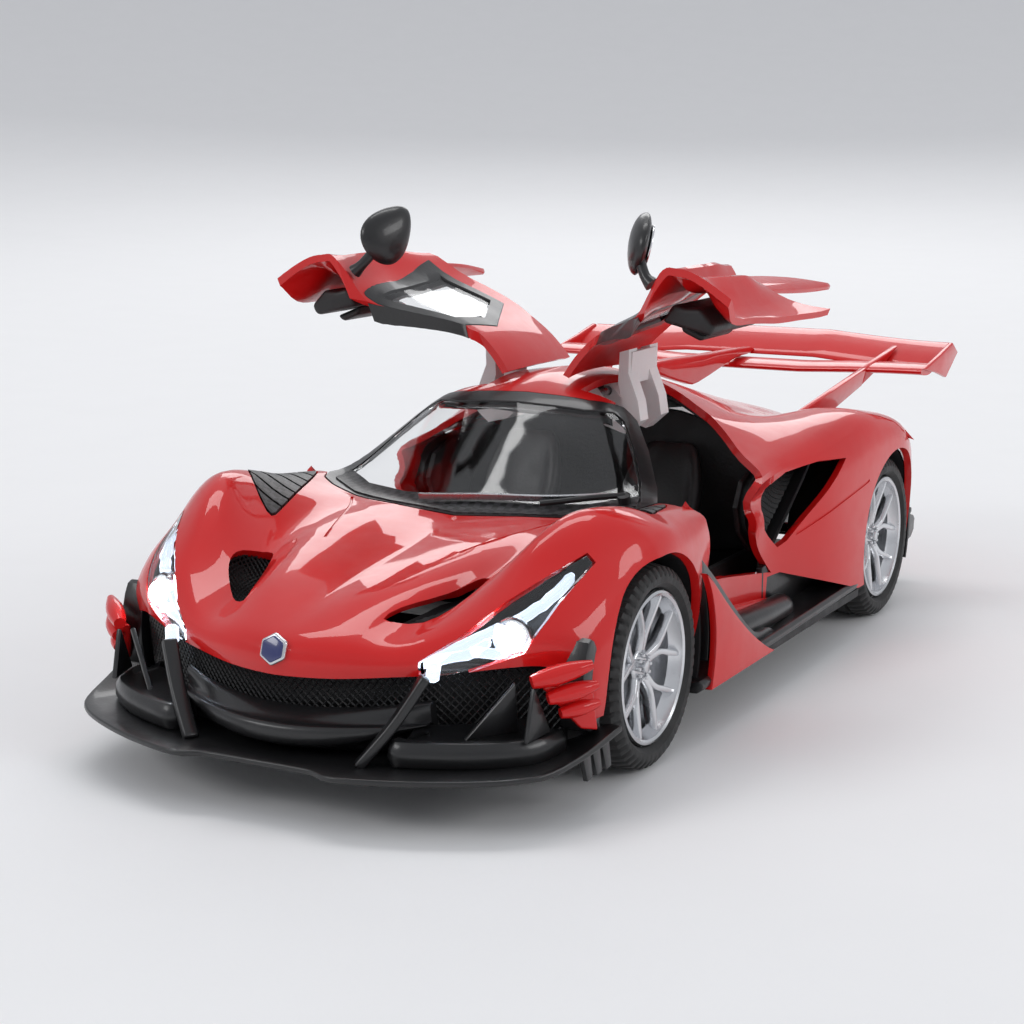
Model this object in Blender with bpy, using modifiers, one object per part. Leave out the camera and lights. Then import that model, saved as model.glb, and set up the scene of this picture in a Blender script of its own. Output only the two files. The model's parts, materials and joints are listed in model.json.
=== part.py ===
"""Diecast collector car, about 1:24: a mid-engined track car with two doors that swing up on roof hinges."""

import math

import bmesh
import bpy
from mathutils import Matrix, Vector
from mathutils.bvhtree import BVHTree

MM = 0.001

# Overall proportions, in mm. The outlines below are drawn for these base values and stretch with them.
WHEELBASE, BASE_WHEELBASE = 112.5, 112.5
BODY_WIDTH, BASE_BODY_WIDTH = 88.0, 88.0
ROOF_HEIGHT, BASE_ROOF_HEIGHT = 54.8, 54.8
MIDPOINT_Y = 3.3

# Walls and clearances, in mm
BODY_WALL = 1.4
DOOR_WALL = 1.2
GLASS_WALL = 0.8
GAP = 0.3
DOOR_GAP = 0.45

# Wheels, in mm
TYRE_RADIUS = 16.14
TYRE_WIDTH = 12.0
TYRE_OUTER_X = 42.0
TYRE_WALL = 3.9
RIM_RADIUS = TYRE_RADIUS - TYRE_WALL
RIM_WALL = 0.9
AXLE_RADIUS = 1.0
ARCH_CLEARANCE = 2.0
ARCH_REACH = 1.5
SPOKES = 5
WHEEL_STEPS = 24

# Doors, in mm and degrees
HINGE_X = 6.0
ROOF_TO_HINGE = 51.6
HINGE_Z = ROOF_TO_HINGE - BODY_WALL
DOOR_OPEN = 68.0
PIN_RADIUS = 0.8
DOOR_INNER_X = 10.2
ROOF_GAP = 1.1
LEG_WIDTH = 3.4
FRONT_LEG_Y = -8.0
REAR_LEG_Y = 1.0
MIRROR_FOOT = (35.4, -30.2, 37.8)
MIRROR_NECK = (36.8, -29.5, 41.4)
MIRROR_TIP = (43.3, -21.1, 46.6)
MIRROR_FACING = (0.11, 0.45, -0.88)
MIRROR_HALF_WIDTH = 4.4
MIRROR_HALF_DEPTH = 2.2
MIRROR_TAPER = 0.34
STALK_RADIUS = 0.9

# Nose, lamps and sides, in mm
SPLITTER_WALL = 1.3
BUMPER_Z = (8.8, 15.2)
GRILLE_TOP_Z = 19.6
BADGE_RADIUS = 2.4
BADGE_WALL = 0.8
LAMP_RADIUS = 2.0
LAMP_LENGTH = 3.0
WIPER_LIFT = 1.0
WIPER_RADIUS = 0.45
SCREEN_LOW_Z = 30.0
LAMP_BACK_Y = -64.0
BLADE_X = (42.9, 43.9)
SILL_OUTER_X = 33.6
INTAKE_WALL = 1.2

# Rear, in mm
REAR_PANEL_Y = 78.4
PANEL_WALL = 2.0
TIP_SPACING = 5.6
TIP_RADIUS = 2.2
WING_HALF_SPAN = 42.4
PLATE_WALL = 1.2
STRUT_WALL = 1.5
TIP_WALL = 0.6
TIP_LENGTH = 6.0
CENTRE_FIN_HALF = 1.1
DIFFUSER_HALF = 37.0
VANE_HALF = 0.6
VANE_X = (-36.9, -24, -9, 9, 24, 36.9)

# Floor, mounts and drive, in mm
FLOOR_Z = 8.0
FLOOR_WALL = 1.5
TUB_WALL = 1.2
TUB_HALF_WIDTH = 29.0
DASH_INSET = 1.0
SEAT_WIDTH = 16.0
SEAT_X = 14.6
INTAKE_DEPTH_X = 31.2
MOTOR_HALF_WIDTH = 11.0
CRADLE_HALF_WIDTH = 14.0
SKIRT_BAR_X = 38.8
SKIRT_BAR_RADIUS = 1.7
SKIRT_BAR_LENGTH = 26.0
HAND_RADIUS = 5.2
RING_RADIUS = 0.7

LONG = WHEELBASE / BASE_WHEELBASE
WIDE = BODY_WIDTH / BASE_BODY_WIDTH
HIGH = ROOF_HEIGHT / BASE_ROOF_HEIGHT
FRONT_AXLE_Y = -BASE_WHEELBASE / 2
REAR_AXLE_Y = BASE_WHEELBASE / 2
TYRE_X = TYRE_OUTER_X - TYRE_WIDTH / 2
ARCH_RADIUS = TYRE_RADIUS + ARCH_CLEARANCE
FAR = 70.0

# Body stations from nose to tail: (y at the centreline, sweep of the outer edge, half section of x, z).
# The ten points of a section are the centreline, the spine's edge, the channel beside it, the rise out
# of the channel, the crest, the shoulder, the groove, the flank, the sill's top and the lower edge.
STATIONS = [
    (-99.0, 19.0, (0, 20.2), (9, 20.3), (17, 20.8), (24, 21.2), (30.5, 22), (35.5, 22.2), (39.4, 21),
     (41, 18.6), (41.4, 15.8), (40.8, 13.6)),
    (-99.4, 19.6, (0, 22.4), (9, 22.6), (17, 22.8), (24, 23.6), (30.6, 25.2), (36, 26.4), (40.4, 24.6),
     (41.9, 20.4), (42, 16.4), (41.4, 13.6)),
    (-98.4, 22.5, (0, 24.8), (9, 25.1), (17, 24.9), (24, 27), (30, 29.6), (36, 31), (41, 28.6),
     (42.8, 23), (42.8, 17), (42.2, 13.6)),
    (-94.6, 25.0, (0, 26.7), (9.8, 27.3), (17, 26.2), (23.6, 29.6), (29.8, 34), (36.2, 34.9),
     (41.6, 31.6), (43.3, 25), (43.4, 17.6), (42.8, 11.8)),
    (-86.5, 21.0, (0, 28.9), (11.2, 30.4), (17.2, 27.9), (23.4, 32), (30.2, 38.4), (36.8, 38.2),
     (42, 33.4), (43.6, 26.4), (43.6, 18), (43, 11.8)),
    (-77.0, 15.0, (0, 30.7), (12.6, 32.2), (19.2, 30.4), (25, 34.8), (31.2, 41.1), (37.4, 40.1),
     (42.4, 35), (43.8, 27.4), (43.8, 18.4), (43.2, 11.8)),
    (-66.0, 7.0, (0, 32.3), (13.6, 33.6), (21.4, 33), (27.4, 36.8), (33.2, 41.5), (38.4, 40),
     (42.6, 35.8), (43.8, 28.2), (43.8, 18.8), (43.2, 11.8)),
    (-56.0, 3.0, (0, 33.5), (13.8, 34.6), (22, 34.5), (28.4, 37), (34.4, 40.4), (39, 39),
     (42.6, 35.9), (43.7, 28.2), (43.6, 18.8), (42.8, 11.8)),
    (-46.5, 1.0, (0, 34.4), (12, 35.2), (21, 35.4), (28, 36.6), (34, 38.6), (38.9, 37.4),
     (42, 34.8), (43.2, 28.4), (43, 18.8), (41.6, 12)),
    (-42.8, 10.0, (0, 35.6), (11, 35.8), (20, 36), (28, 36.6), (33.6, 37.6), (38.9, 36.2),
     (40.2, 34), (40.6, 30), (39.5, 22), (37.6, 12.5)),
    (-36.0, 9.5, (0, 40.4), (10.5, 40.3), (19, 39.8), (26.8, 38.8), (33.4, 37.4), (39.2, 35.4),
     (37.8, 32.8), (39.6, 30.4), (36.2, 24.2), (35.6, 12.5)),
    (-28.0, 8.0, (0, 46.4), (10, 46.2), (17.6, 45.6), (24.2, 43.4), (33, 37.6), (39.2, 35.4),
     (36.9, 32.5), (39.5, 30), (35.8, 23.6), (35.4, 12.5)),
    (-20.5, 5.0, (0, 51.8), (9.4, 51.4), (16, 50.2), (21.2, 47.4), (32.4, 38), (39, 35.6),
     (36.7, 32.5), (39.4, 29.7), (35.7, 23.4), (35.4, 12.5)),
    (-13.0, 2.0, (0, 54.2), (9, 53.2), (15, 51.5), (20.2, 48.6), (31.6, 39), (38.8, 35.9),
     (36.6, 32.5), (39.2, 29.4), (35.6, 23.2), (35.4, 12.5)),
    (-4.0, 0.0, (0, 54.8), (9, 53.6), (15, 51.6), (20.4, 48.4), (30.8, 40.2), (37.6, 36.6),
     (36.1, 32.7), (37.4, 29), (35.9, 22.8), (35.6, 12.5)),
    (5.0, 0.0, (0, 54.2), (9, 52.9), (15.4, 50.6), (21, 47.4), (30.4, 41.2), (36.9, 37.4),
     (35.9, 33), (36.6, 28.6), (36.4, 22), (36.4, 12.5)),
    (14.0, 0.0, (0, 52.8), (9.4, 51.4), (15.8, 49), (21.6, 46), (30.4, 42), (37.6, 38.5),
     (38.4, 33.6), (38.8, 27.8), (39, 20.5), (38.6, 11.4)),
    (23.0, 0.0, (0, 50.6), (9.8, 49.2), (16.4, 46.8), (22.2, 44.4), (30.6, 42.6), (38.6, 40),
     (41.2, 34.6), (41.8, 27.4), (41.8, 19), (41.4, 10.6)),
    (32.0, 0.0, (0, 48.2), (10, 46.9), (16.8, 44.6), (22.6, 42.8), (31, 43), (39.2, 41.8),
     (42.6, 36), (43.2, 27.6), (43.4, 18.4), (43.2, 10)),
    (42.0, 0.0, (0, 45.7), (10, 44.5), (17, 42.4), (23, 41.4), (31.6, 43.4), (40, 42.7),
     (43.4, 37.2), (43.8, 28), (43.8, 18.4), (43.6, 10)),
    (52.0, 0.0, (0, 43.4), (10, 42.2), (17.2, 40.1), (23.4, 39.6), (32.4, 42), (40.4, 41.5),
     (43.8, 37.2), (44, 28.2), (44, 18.6), (43.8, 10.6)),
    (62.0, 0.0, (0, 41.4), (10, 40.2), (17.4, 38.2), (23.8, 37.7), (33, 40.1), (40, 39.8),
     (43.6, 36.4), (44, 28.2), (44, 18.8), (43.8, 11.4)),
    (72.0, -2.5, (0, 39.2), (10, 38.1), (17.4, 36.3), (24, 36), (32.6, 38.1), (38.4, 37.6),
     (42.2, 34.8), (43, 28), (43, 19.4), (42.6, 12.6)),
    (81.0, -5.5, (0, 37), (10, 36), (17.4, 34.4), (24, 34.4), (31.2, 36.2), (36.6, 35.8),
     (40.2, 33), (41, 27.8), (41, 20.4), (40.4, 14.4)),
    (90.0, -10.0, (0, 34.8), (10, 33.9), (17, 32.7), (23.6, 33), (29.4, 34.4), (34.4, 34),
     (37.8, 31.4), (38.6, 27.2), (38.6, 21.6), (38, 16.6)),
]
SWEEP_AT_X = 40.0
SWEEP_POWER = 1.6
ACROSS_STEPS = 2

# Outlines of the openings in the body. Side views are (y, z), plan views (x, y), front views (x, z).
DOOR_SIDE = [(-32.4, 23.4), (-32.4, 36.4), (-24.2, 43.4), (-16.4, 49.6), (-15.4, 60), (9, 60), (10, 50),
             (8.5, 46), (2.5, 40.5), (-2.6, 35.5), (-4.2, 31.2), (-3, 27), (1, 22.8), (5.5, 18.6),
             (-6, 20.4), (-20, 22.4)]
WINDOW_SIDE = [(-28.2, 38.6), (-17.4, 47.2), (-9, 48.6), (1.5, 45.4), (-4.6, 38.8)]
SCREEN_PLAN = [(-31.8, -34.2), (-24, -41.2), (-14, -44.4), (0, -45.6), (14, -44.4), (24, -41.2),
               (31.8, -34.2), (20.6, -17.8), (12, -19.4), (0, -20), (-12, -19.4), (-20.6, -17.8)]
SCREEN_BORDER = 2.4
HEADLIGHT_FRONT = [(20.8, 21.4), (23, 20.9), (27, 21.9), (33.4, 24.4), (35.4, 28.6), (37.6, 35.2),
                   (36.6, 36.2), (30, 31), (25, 26), (20.8, 23)]
HOOD_VENT_PLAN = [(13.4, -86.4), (21.6, -76.4), (23, -69.5), (17.4, -75.5)]
LOUVRE_PLAN = [(26, -62.5), (37, -52.6), (36, -43), (34, -35.4), (31, -41), (26, -57)]
INTAKE_SIDE = [(30, 36.2), (21, 36.8), (10, 36.2), (3.6, 34), (1.6, 30.6), (3, 26.6), (8, 22.6), (10.6, 23.4)]

MATERIALS = {
    "red_paint": ((0.72, 0.015, 0.012), 0.18, 0.0),
    "black_plastic": ((0.012, 0.012, 0.013), 0.38, 0.0),
    "matte_black": ((0.02, 0.02, 0.021), 0.7, 0.0),
    "clear_plastic": ((0.85, 0.9, 0.92), 0.05, 0.0),
    "lamp_white": ((0.9, 0.94, 1.0), 0.2, 0.0),
    "red_lens": ((0.6, 0.01, 0.01), 0.1, 0.0),
    "hinge_white": ((0.82, 0.8, 0.8), 0.45, 0.0),
    "silver_rim": ((0.72, 0.73, 0.75), 0.28, 1.0),
    "steel": ((0.55, 0.56, 0.58), 0.3, 1.0),
    "tyre_rubber": ((0.018, 0.018, 0.018), 0.8, 0.0),
    "badge_enamel": ((0.05, 0.06, 0.3), 0.2, 0.0),
}


def at(x, y, z):
    """The world point, in metres, of a point on the base outlines, in mm."""
    return Vector((x * WIDE, y * LONG + MIDPOINT_Y, z * HIGH)) * MM


def axle_point(x, axle_y):
    """A point on an axle's line: its height is the tyre's radius whatever the body's height."""
    return Vector((x * WIDE, axle_y * LONG + MIDPOINT_Y, TYRE_RADIUS)) * MM


def collection(name):
    made = bpy.data.collections.new(name)
    bpy.context.scene.collection.children.link(made)
    return made


def material(name):
    found = bpy.data.materials.get(name)
    if found:
        return found
    colour, roughness, metallic = MATERIALS[name]
    made = bpy.data.materials.new(name)
    made.use_nodes = True
    shader = made.node_tree.nodes["Principled BSDF"]
    shader.inputs["Base Color"].default_value = (*colour, 1.0)
    shader.inputs["Roughness"].default_value = roughness
    shader.inputs["Metallic"].default_value = metallic
    return made


def object_of(name, shape, slot, smooth=30.0):
    """A part from a bmesh, or a cutter when it has no material slot."""
    mesh = bpy.data.meshes.new(name)
    shape.to_mesh(mesh)
    shape.free()
    made = bpy.data.objects.new(name, mesh)
    if slot is None:
        made.hide_render = True
        made.display_type = "WIRE"
        CUTTERS.objects.link(made)
        return made
    mesh.materials.append(material(slot))
    mesh.shade_smooth()
    mesh.set_sharp_from_angle(angle=math.radians(smooth))
    CAR.objects.link(made)
    return made


def outward(shape):
    bmesh.ops.recalc_face_normals(shape, faces=shape.faces)
    return shape


PLACES = {
    "X": lambda u, v, w: at(w, u, v),
    "Y": lambda u, v, w: at(u, w, v),
    "Z": lambda u, v, w: at(u, v, w),
}


def prism_shape(outline, axis, low, high):
    """An outline extruded along X (y, z), Y (x, z) or Z (x, y), from low to high."""
    place = PLACES[axis]
    shape = bmesh.new()
    face = shape.faces.new([shape.verts.new(place(u, v, low)) for u, v in outline])
    raised = bmesh.ops.extrude_face_region(shape, geom=[face])["geom"]
    lifted = [v for v in raised if isinstance(v, bmesh.types.BMVert)]
    bmesh.ops.translate(shape, verts=lifted, vec=place(0, 0, high) - place(0, 0, low))
    return outward(shape)


def prism(name, outline, axis, low, high, slot=None, smooth=30.0):
    return object_of(name, prism_shape(outline, axis, low, high), slot, smooth)


def mirrored(obj):
    """A cutter's copy on the right side, kept in the same object."""
    flip = obj.modifiers.new("other_side", "MIRROR")
    flip.use_mirror_merge = False
    return obj


def side_cutter(name, outline, low, high):
    return mirrored(prism(name, outline, "X", low, high))


def grown(outline, distance):
    """The outline with every edge moved outwards by a distance; a negative distance shrinks it."""
    count = len(outline)
    area = sum(outline[i][0] * outline[(i + 1) % count][1] - outline[(i + 1) % count][0] * outline[i][1]
               for i in range(count))
    turn = 1.0 if area > 0 else -1.0
    moved = []
    for i in range(count):
        before, here, after = (Vector(outline[(i + k) % count]) for k in (-1, 0, 1))
        normals = [Vector((e.y, -e.x)).normalized() * turn for e in (here - before, after - here)]
        middle = (normals[0] + normals[1]).normalized()
        reach = distance / max(middle.dot(normals[0]), 0.5)
        moved.append(tuple(here + middle * reach))
    return moved


def smooth_between(before, low, high, after, share):
    """A point of the smooth curve through four values, between the middle two."""
    square, cube = share * share, share ** 3
    return 0.5 * (2 * low + (high - before) * share + (2 * before - 5 * low + 4 * high - after) * square
                  + (3 * low - before - 3 * high + after) * cube)


def refined(points, steps):
    """The points with others between them on a smooth curve."""
    result = []
    last = len(points) - 1
    for i in range(last):
        four = [points[max(min(i + k, last), 0)] for k in (-1, 0, 1, 2)]
        for step in range(steps):
            result.append(smooth_between(*four, step / steps))
    return result + [points[last]]


def body_rows():
    """The left half of the body's surface: one row of world points for each station."""
    rows = []
    for y, sweep, *section in STATIONS:
        curve = refined([Vector(p) for p in section], ACROSS_STEPS)
        rows.append([at(p.x, y + sweep * (max(p.x, 0) / SWEEP_AT_X) ** SWEEP_POWER, p.y) for p in curve])
    return rows


def grid_shape(rows, side=1):
    """An open surface through rows of points, facing away from the rows' left."""
    shape = bmesh.new()
    flip = Vector((side, 1, 1))
    corners = [[shape.verts.new(p * flip) for p in row] for row in rows]
    for first, second in zip(corners, corners[1:]):
        for i in range(len(first) - 1):
            loop = (first[i], first[i + 1], second[i + 1], second[i])
            shape.faces.new(loop if side > 0 else loop[::-1])
    return shape


def body_surface(name, slot, wall, side=0):
    """The body's surface with a wall inside it: both halves, or the left (1) or right (-1) one alone."""
    rows = body_rows()
    made = object_of(name, grid_shape(rows, side or 1), slot)
    if side == 0:
        mirror = made.modifiers.new("right_half", "MIRROR")
        mirror.merge_threshold = 0.0001
    solid = made.modifiers.new("wall", "SOLIDIFY")
    solid.thickness = wall * MM
    solid.offset = -1.0
    return made


def boolean(obj, tool, operation):
    step = obj.modifiers.new(tool.name, "BOOLEAN")
    step.operation = operation
    step.object = tool
    step.solver = "EXACT"
    return obj


def cut(obj, *tools):
    for tool in tools:
        boolean(obj, tool, "DIFFERENCE")
    return obj


def keep(obj, tool):
    return boolean(obj, tool, "INTERSECT")


def join(obj, *tools):
    for tool in tools:
        boolean(obj, tool, "UNION")
    return obj


def turned(name, profile, axle_y, side, slot, x=TYRE_X):
    """A closed profile of (x outwards from the wheel's middle, radius) turned about an axle."""
    shape = bmesh.new()
    centre = axle_point(side * x, axle_y)
    ring = [shape.verts.new(centre + Vector((side * u, 0, r)) * MM) for u, r in profile]
    edges = [shape.edges.new((ring[i - 1], ring[i])) for i in range(len(ring))]
    bmesh.ops.spin(shape, geom=ring + edges, cent=centre, axis=(1, 0, 0), angle=2 * math.pi,
                   steps=WHEEL_STEPS, use_merge=True)
    bmesh.ops.remove_doubles(shape, verts=shape.verts, dist=1e-6)
    return object_of(name, outward(shape), slot, 40.0)


def rod_shape(centre, direction, radius, length, sides=16):
    """A cylinder of a radius and length in mm about a world point."""
    shape = bmesh.new()
    turn = Vector(direction).to_track_quat("Z", "Y").to_matrix().to_4x4()
    bmesh.ops.create_cone(shape, cap_ends=True, segments=sides, radius1=radius * MM, radius2=radius * MM,
                          depth=length * MM, matrix=Matrix.Translation(centre) @ turn)
    return shape


def rod(name, centre, direction, radius, length, slot=None, sides=16):
    return object_of(name, rod_shape(centre, direction, radius, length, sides), slot)


def tube(name, points, radius, slot):
    """A round bar through world points."""
    path = bpy.data.curves.new(name, "CURVE")
    path.dimensions = "3D"
    path.bevel_depth = radius * MM
    path.bevel_resolution = 1
    path.use_fill_caps = True
    line = path.splines.new("POLY")
    line.points.add(len(points) - 1)
    for spot, point in zip(line.points, points):
        spot.co = (*point, 1.0)
    made = bpy.data.objects.new(name, path)
    path.materials.append(material(slot))
    CAR.objects.link(made)
    return made


def arch_outline(axle_y, reach):
    """The side view of a wheel arch, in world mm: two half circles, the front one moved forward."""
    points = []
    for step in range(25):
        angle = math.pi * 2 * step / 24
        forward = reach if math.cos(angle) > 0.01 else 0.0
        points.append((axle_y * LONG + MIDPOINT_Y - forward - ARCH_RADIUS * math.cos(angle),
                       TYRE_RADIUS + ARCH_RADIUS * math.sin(angle)))
    return points[:-1]


def arch_cutter(name, axle_y, reach):
    shape = bmesh.new()
    low, high = (TYRE_OUTER_X - TYRE_WIDTH - ARCH_CLEARANCE / 2) * WIDE, FAR
    face = shape.faces.new([shape.verts.new(Vector((low, y, z)) * MM) for y, z in arch_outline(axle_y, reach)])
    raised = bmesh.ops.extrude_face_region(shape, geom=[face])["geom"]
    lifted = [v for v in raised if isinstance(v, bmesh.types.BMVert)]
    bmesh.ops.translate(shape, verts=lifted, vec=Vector((high - low, 0, 0)) * MM)
    return mirrored(object_of(name, outward(shape), None))


def surface_lookup():
    """A way to find the body's height over a plan point, for what lies on it."""
    shape = grid_shape(body_rows())
    tree = BVHTree.FromBMesh(shape)
    shape.free()

    def height(x, y):
        start = at(abs(x), y, 2 * ROOF_HEIGHT)
        return tree.ray_cast(start, Vector((0, 0, -1)))[0].z / MM

    return height


def on_body(x, y, lift):
    """The world point a lift in mm over the body at a plan point."""
    point = at(x, y, 0)
    point.z = (BODY_HEIGHT(x, y) + lift) * MM
    return point


def make_cutters():
    """The tools that open the body and its neighbours."""
    return {
        "front_arch": arch_cutter("cut_front_arch", FRONT_AXLE_Y, ARCH_REACH),
        "rear_arch": arch_cutter("cut_rear_arch", REAR_AXLE_Y, 0.0),
        "door": side_cutter("cut_door", grown(DOOR_SIDE, DOOR_GAP), DOOR_INNER_X - ROOF_GAP, FAR),
        "pillar": side_cutter("cut_pillar", [(-32.6, 35.6), (-34.6, 37.6), (-17.4, 52), (-15, 49.6)],
                              16.0, 36.0),
        "screen": prism("cut_screen", grown(SCREEN_PLAN, GAP), "Z", SCREEN_LOW_Z, FAR),
        "headlight": mirrored(prism("cut_headlight", grown(HEADLIGHT_FRONT, GAP), "Y", -FAR * 2, LAMP_BACK_Y)),
        "hood_vent": mirrored(prism("cut_hood_vent", HOOD_VENT_PLAN, "Z", 24, FAR)),
        "louvre": mirrored(prism("cut_louvre", grown(LOUVRE_PLAN, GAP), "Z", 30, FAR)),
        "intake": side_cutter("cut_intake", INTAKE_SIDE, INTAKE_DEPTH_X, FAR),
    }


def make_body(tools):
    shell = body_surface("body_shell", "red_paint", BODY_WALL)
    cut(shell, *(tools[name] for name in
                 ("front_arch", "rear_arch", "door", "pillar", "screen", "headlight", "hood_vent", "louvre",
                  "intake")))


def patch(name, slot, wall, tool_shape, side=0):
    """A piece of the body's surface inside a tool."""
    return keep(body_surface(name, slot, wall, side), tool_shape)


def make_screen():
    outer = prism("keep_screen_frame", SCREEN_PLAN, "Z", SCREEN_LOW_Z, FAR)
    inner = prism("cut_screen_glass", grown(SCREEN_PLAN, -SCREEN_BORDER), "Z", SCREEN_LOW_Z - 1, FAR + 1)
    glass = prism("keep_screen_glass", grown(SCREEN_PLAN, -SCREEN_BORDER - GAP), "Z", SCREEN_LOW_Z, FAR)
    cut(patch("windscreen_frame", "black_plastic", BODY_WALL, outer), inner)
    patch("windscreen", "clear_plastic", GLASS_WALL, glass)
    route = [(-5, -45.2), (4, -43.6), (14, -41.4), (22, -38.4), (27, -35.4)]
    tube("wiper", [on_body(x, y, WIPER_LIFT) for x, y in route], WIPER_RADIUS, "steel")


def make_front():
    front_edge = [(0, -103.4, 7.2), (15, -106.4, 7.2), (30, -100.4, 7.4), (42.4, -92, 8.2), (44, -78, 12.6)]
    rear_edge = [(0, -88, 7.2), (13, -88, 7.2), (25, -84, 7.4), (34, -80, 7.8), (39.6, -76, 11.4)]
    rows = [[at(*p) for p in edge] for edge in (front_edge, rear_edge)]
    splitter = object_of("splitter", grid_shape(rows), "black_plastic")
    mirror = splitter.modifiers.new("right_half", "MIRROR")
    mirror.merge_threshold = 0.0001
    solid = splitter.modifiers.new("wall", "SOLIDIFY")
    solid.thickness = SPLITTER_WALL * MM
    solid.offset = 0.0
    cut(splitter, TOOLS["front_arch"])
    half = [(0, -97.6), (9, -97), (17, -94.6), (24, -90.6), (30.5, -86), (34.4, -82.6)]
    back = [(31, -79), (26, -82), (18, -88), (9, -91), (0, -91.4)]
    ring = half + back + [(-x, y) for x, y in back[-2::-1]] + [(-x, y) for x, y in half[:0:-1]]
    bumper = prism("front_bumper", ring, "Z", *BUMPER_Z, "black_plastic")
    cut(bumper, TOOLS["front_arch"])
    half = [(0, -97), (9, -96.4), (17, -94), (24, -90), (30, -85.6)]
    back = [(28.6, -84), (23, -88.2), (16.4, -92), (9, -94.4), (0, -95)]
    ring = half + back + [(-x, y) for x, y in back[-2::-1]] + [(-x, y) for x, y in half[:0:-1]]
    prism("grille", ring, "Z", BUMPER_Z[1] + GAP, GRILLE_TOP_Z, "matte_black")
    badge = rod("nose_badge", at(0, -100.2, 24.0), (0, -1, 0.35), BADGE_RADIUS, BADGE_WALL, "badge_enamel", 6)
    badge.data.transform(Matrix.Translation((0, -GAP * MM, 0)))


def make_lights():
    for side, label in ((1, "left"), (-1, "right")):
        outline = [(side * x, z) for x, z in HEADLIGHT_FRONT]
        tool = prism(f"keep_{label}_headlight", outline, "Y", -FAR * 2, LAMP_BACK_Y)
        patch(f"{label}_headlight", "clear_plastic", GLASS_WALL, tool, side)
        rod(f"{label}_lamp", at(side * 30, -81, 25.4), (0, -1, 0), LAMP_RADIUS, LAMP_LENGTH, "lamp_white")
        outline = [(side * x, y) for x, y in LOUVRE_PLAN]
        tool = prism(f"keep_{label}_louvre", outline, "Z", 30, FAR)
        patch(f"{label}_louvre", "black_plastic", BODY_WALL, tool, side)


def make_sides():
    for side, label in ((1, "left"), (-1, "right")):
        near, far = sorted((side * INTAKE_DEPTH_X, side * (INTAKE_DEPTH_X + INTAKE_WALL)))
        prism(f"{label}_side_intake", grown(INTAKE_SIDE, 1.0), "X", near, far, "matte_black")
        near, far = sorted(side * x for x in BLADE_X)
        blade = prism(f"{label}_side_blade", [(-43.6, 28.4), (-41, 9.9), (-10, 9.9)], "X", near, far,
                      "red_paint")
        cut(blade, TOOLS["front_arch"])
        near, far = sorted((side * (TUB_HALF_WIDTH + GAP), side * SILL_OUTER_X))
        prism(f"{label}_sill", [(-32, 10.2), (-32, 21.2), (-14, 19.4), (9, 16.4), (9, 10.2)], "X", near, far,
              "red_paint")


def make_floor():
    half = [(0, -87.2), (24, -82), (28, -76), (28, -38.6), (43, -37.4), (43, 37.4), (28, 38.6), (28, 74)]
    ring = half + [(-x, y) for x, y in half[:0:-1]]
    floor = prism("chassis_plate", ring, "Z", FLOOR_Z, FLOOR_Z + FLOOR_WALL, "matte_black")
    cover = [(-17, -18), (17, -18), (17, 14), (-17, 14)]
    well = prism("cut_battery", grown(cover, GAP), "Z", FLOOR_Z - 2, FLOOR_Z + FLOOR_WALL + 1)
    cut(floor, TOOLS["front_arch"], TOOLS["rear_arch"], well)
    for side in (1, -1):
        join(floor, rod(f"skirt_bar_{side}", at(side * SKIRT_BAR_X, -5, 10.6), (0, 1, 0),
                        SKIRT_BAR_RADIUS, SKIRT_BAR_LENGTH * LONG, None, 12))
    prism("battery_cover", cover, "Z", FLOOR_Z + 0.2, FLOOR_Z + FLOOR_WALL, "matte_black")
    base = FLOOR_Z + FLOOR_WALL + GAP
    bore = AXLE_RADIUS + GAP
    for name, axle_y, half_length, top, half_width in (
            ("front_axle_cradle", FRONT_AXLE_Y, 5, TYRE_RADIUS + 5, CRADLE_HALF_WIDTH),
            ("pullback_motor", REAR_AXLE_Y, 11, TYRE_RADIUS + 9, MOTOR_HALF_WIDTH)):
        outline = [(axle_y - half_length, base), (axle_y + half_length, base),
                   (axle_y + half_length, top / HIGH), (axle_y - half_length, top / HIGH)]
        block = prism(name, outline, "X", -half_width, half_width, "matte_black")
        cut(block, rod(f"bore_{name}", axle_point(0, axle_y), (1, 0, 0), bore, 60 * WIDE))


def make_wheels():
    half = TYRE_WIDTH / 2
    inner = RIM_RADIUS + GAP
    tyre = [(-half + 1, inner), (-half, inner + 0.9), (-half + 0.1, TYRE_RADIUS - 1.1),
            (-half + 1.1, TYRE_RADIUS - 0.25), (-half + 3, TYRE_RADIUS), (half - 3, TYRE_RADIUS),
            (half - 1.1, TYRE_RADIUS - 0.25), (half - 0.1, TYRE_RADIUS - 1.1), (half, inner + 0.9),
            (half - 1, inner)]
    edge = half - 0.7
    bore = AXLE_RADIUS + GAP
    rim = [(-edge, RIM_RADIUS), (edge, RIM_RADIUS), (edge, RIM_RADIUS - RIM_WALL),
           (edge - 1.8, RIM_RADIUS - RIM_WALL - 0.3), (edge - 3.4, 3.4), (edge - 2.4, 3.0), (edge - 2.4, bore),
           (-1.2, bore), (-1.2, 3.8), (edge - 4.4, RIM_RADIUS - RIM_WALL - 0.5),
           (-edge, RIM_RADIUS - RIM_WALL)]
    for place, axle_y in (("front", FRONT_AXLE_Y), ("rear", REAR_AXLE_Y)):
        length = 2 * (TYRE_X * WIDE + 2)
        rod(f"{place}_axle", axle_point(0, axle_y), (1, 0, 0), AXLE_RADIUS, length, "steel", 12)
        for side, label in ((1, "left"), (-1, "right")):
            turned(f"{label}_{place}_tyre", tyre, axle_y, side, "tyre_rubber")
            wheel = turned(f"{label}_{place}_rim", rim, axle_y, side, "silver_rim")
            for spoke in range(SPOKES):
                cut(wheel, window_cutter(f"{label}_{place}_window_{spoke}", axle_y, side, spoke))


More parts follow.
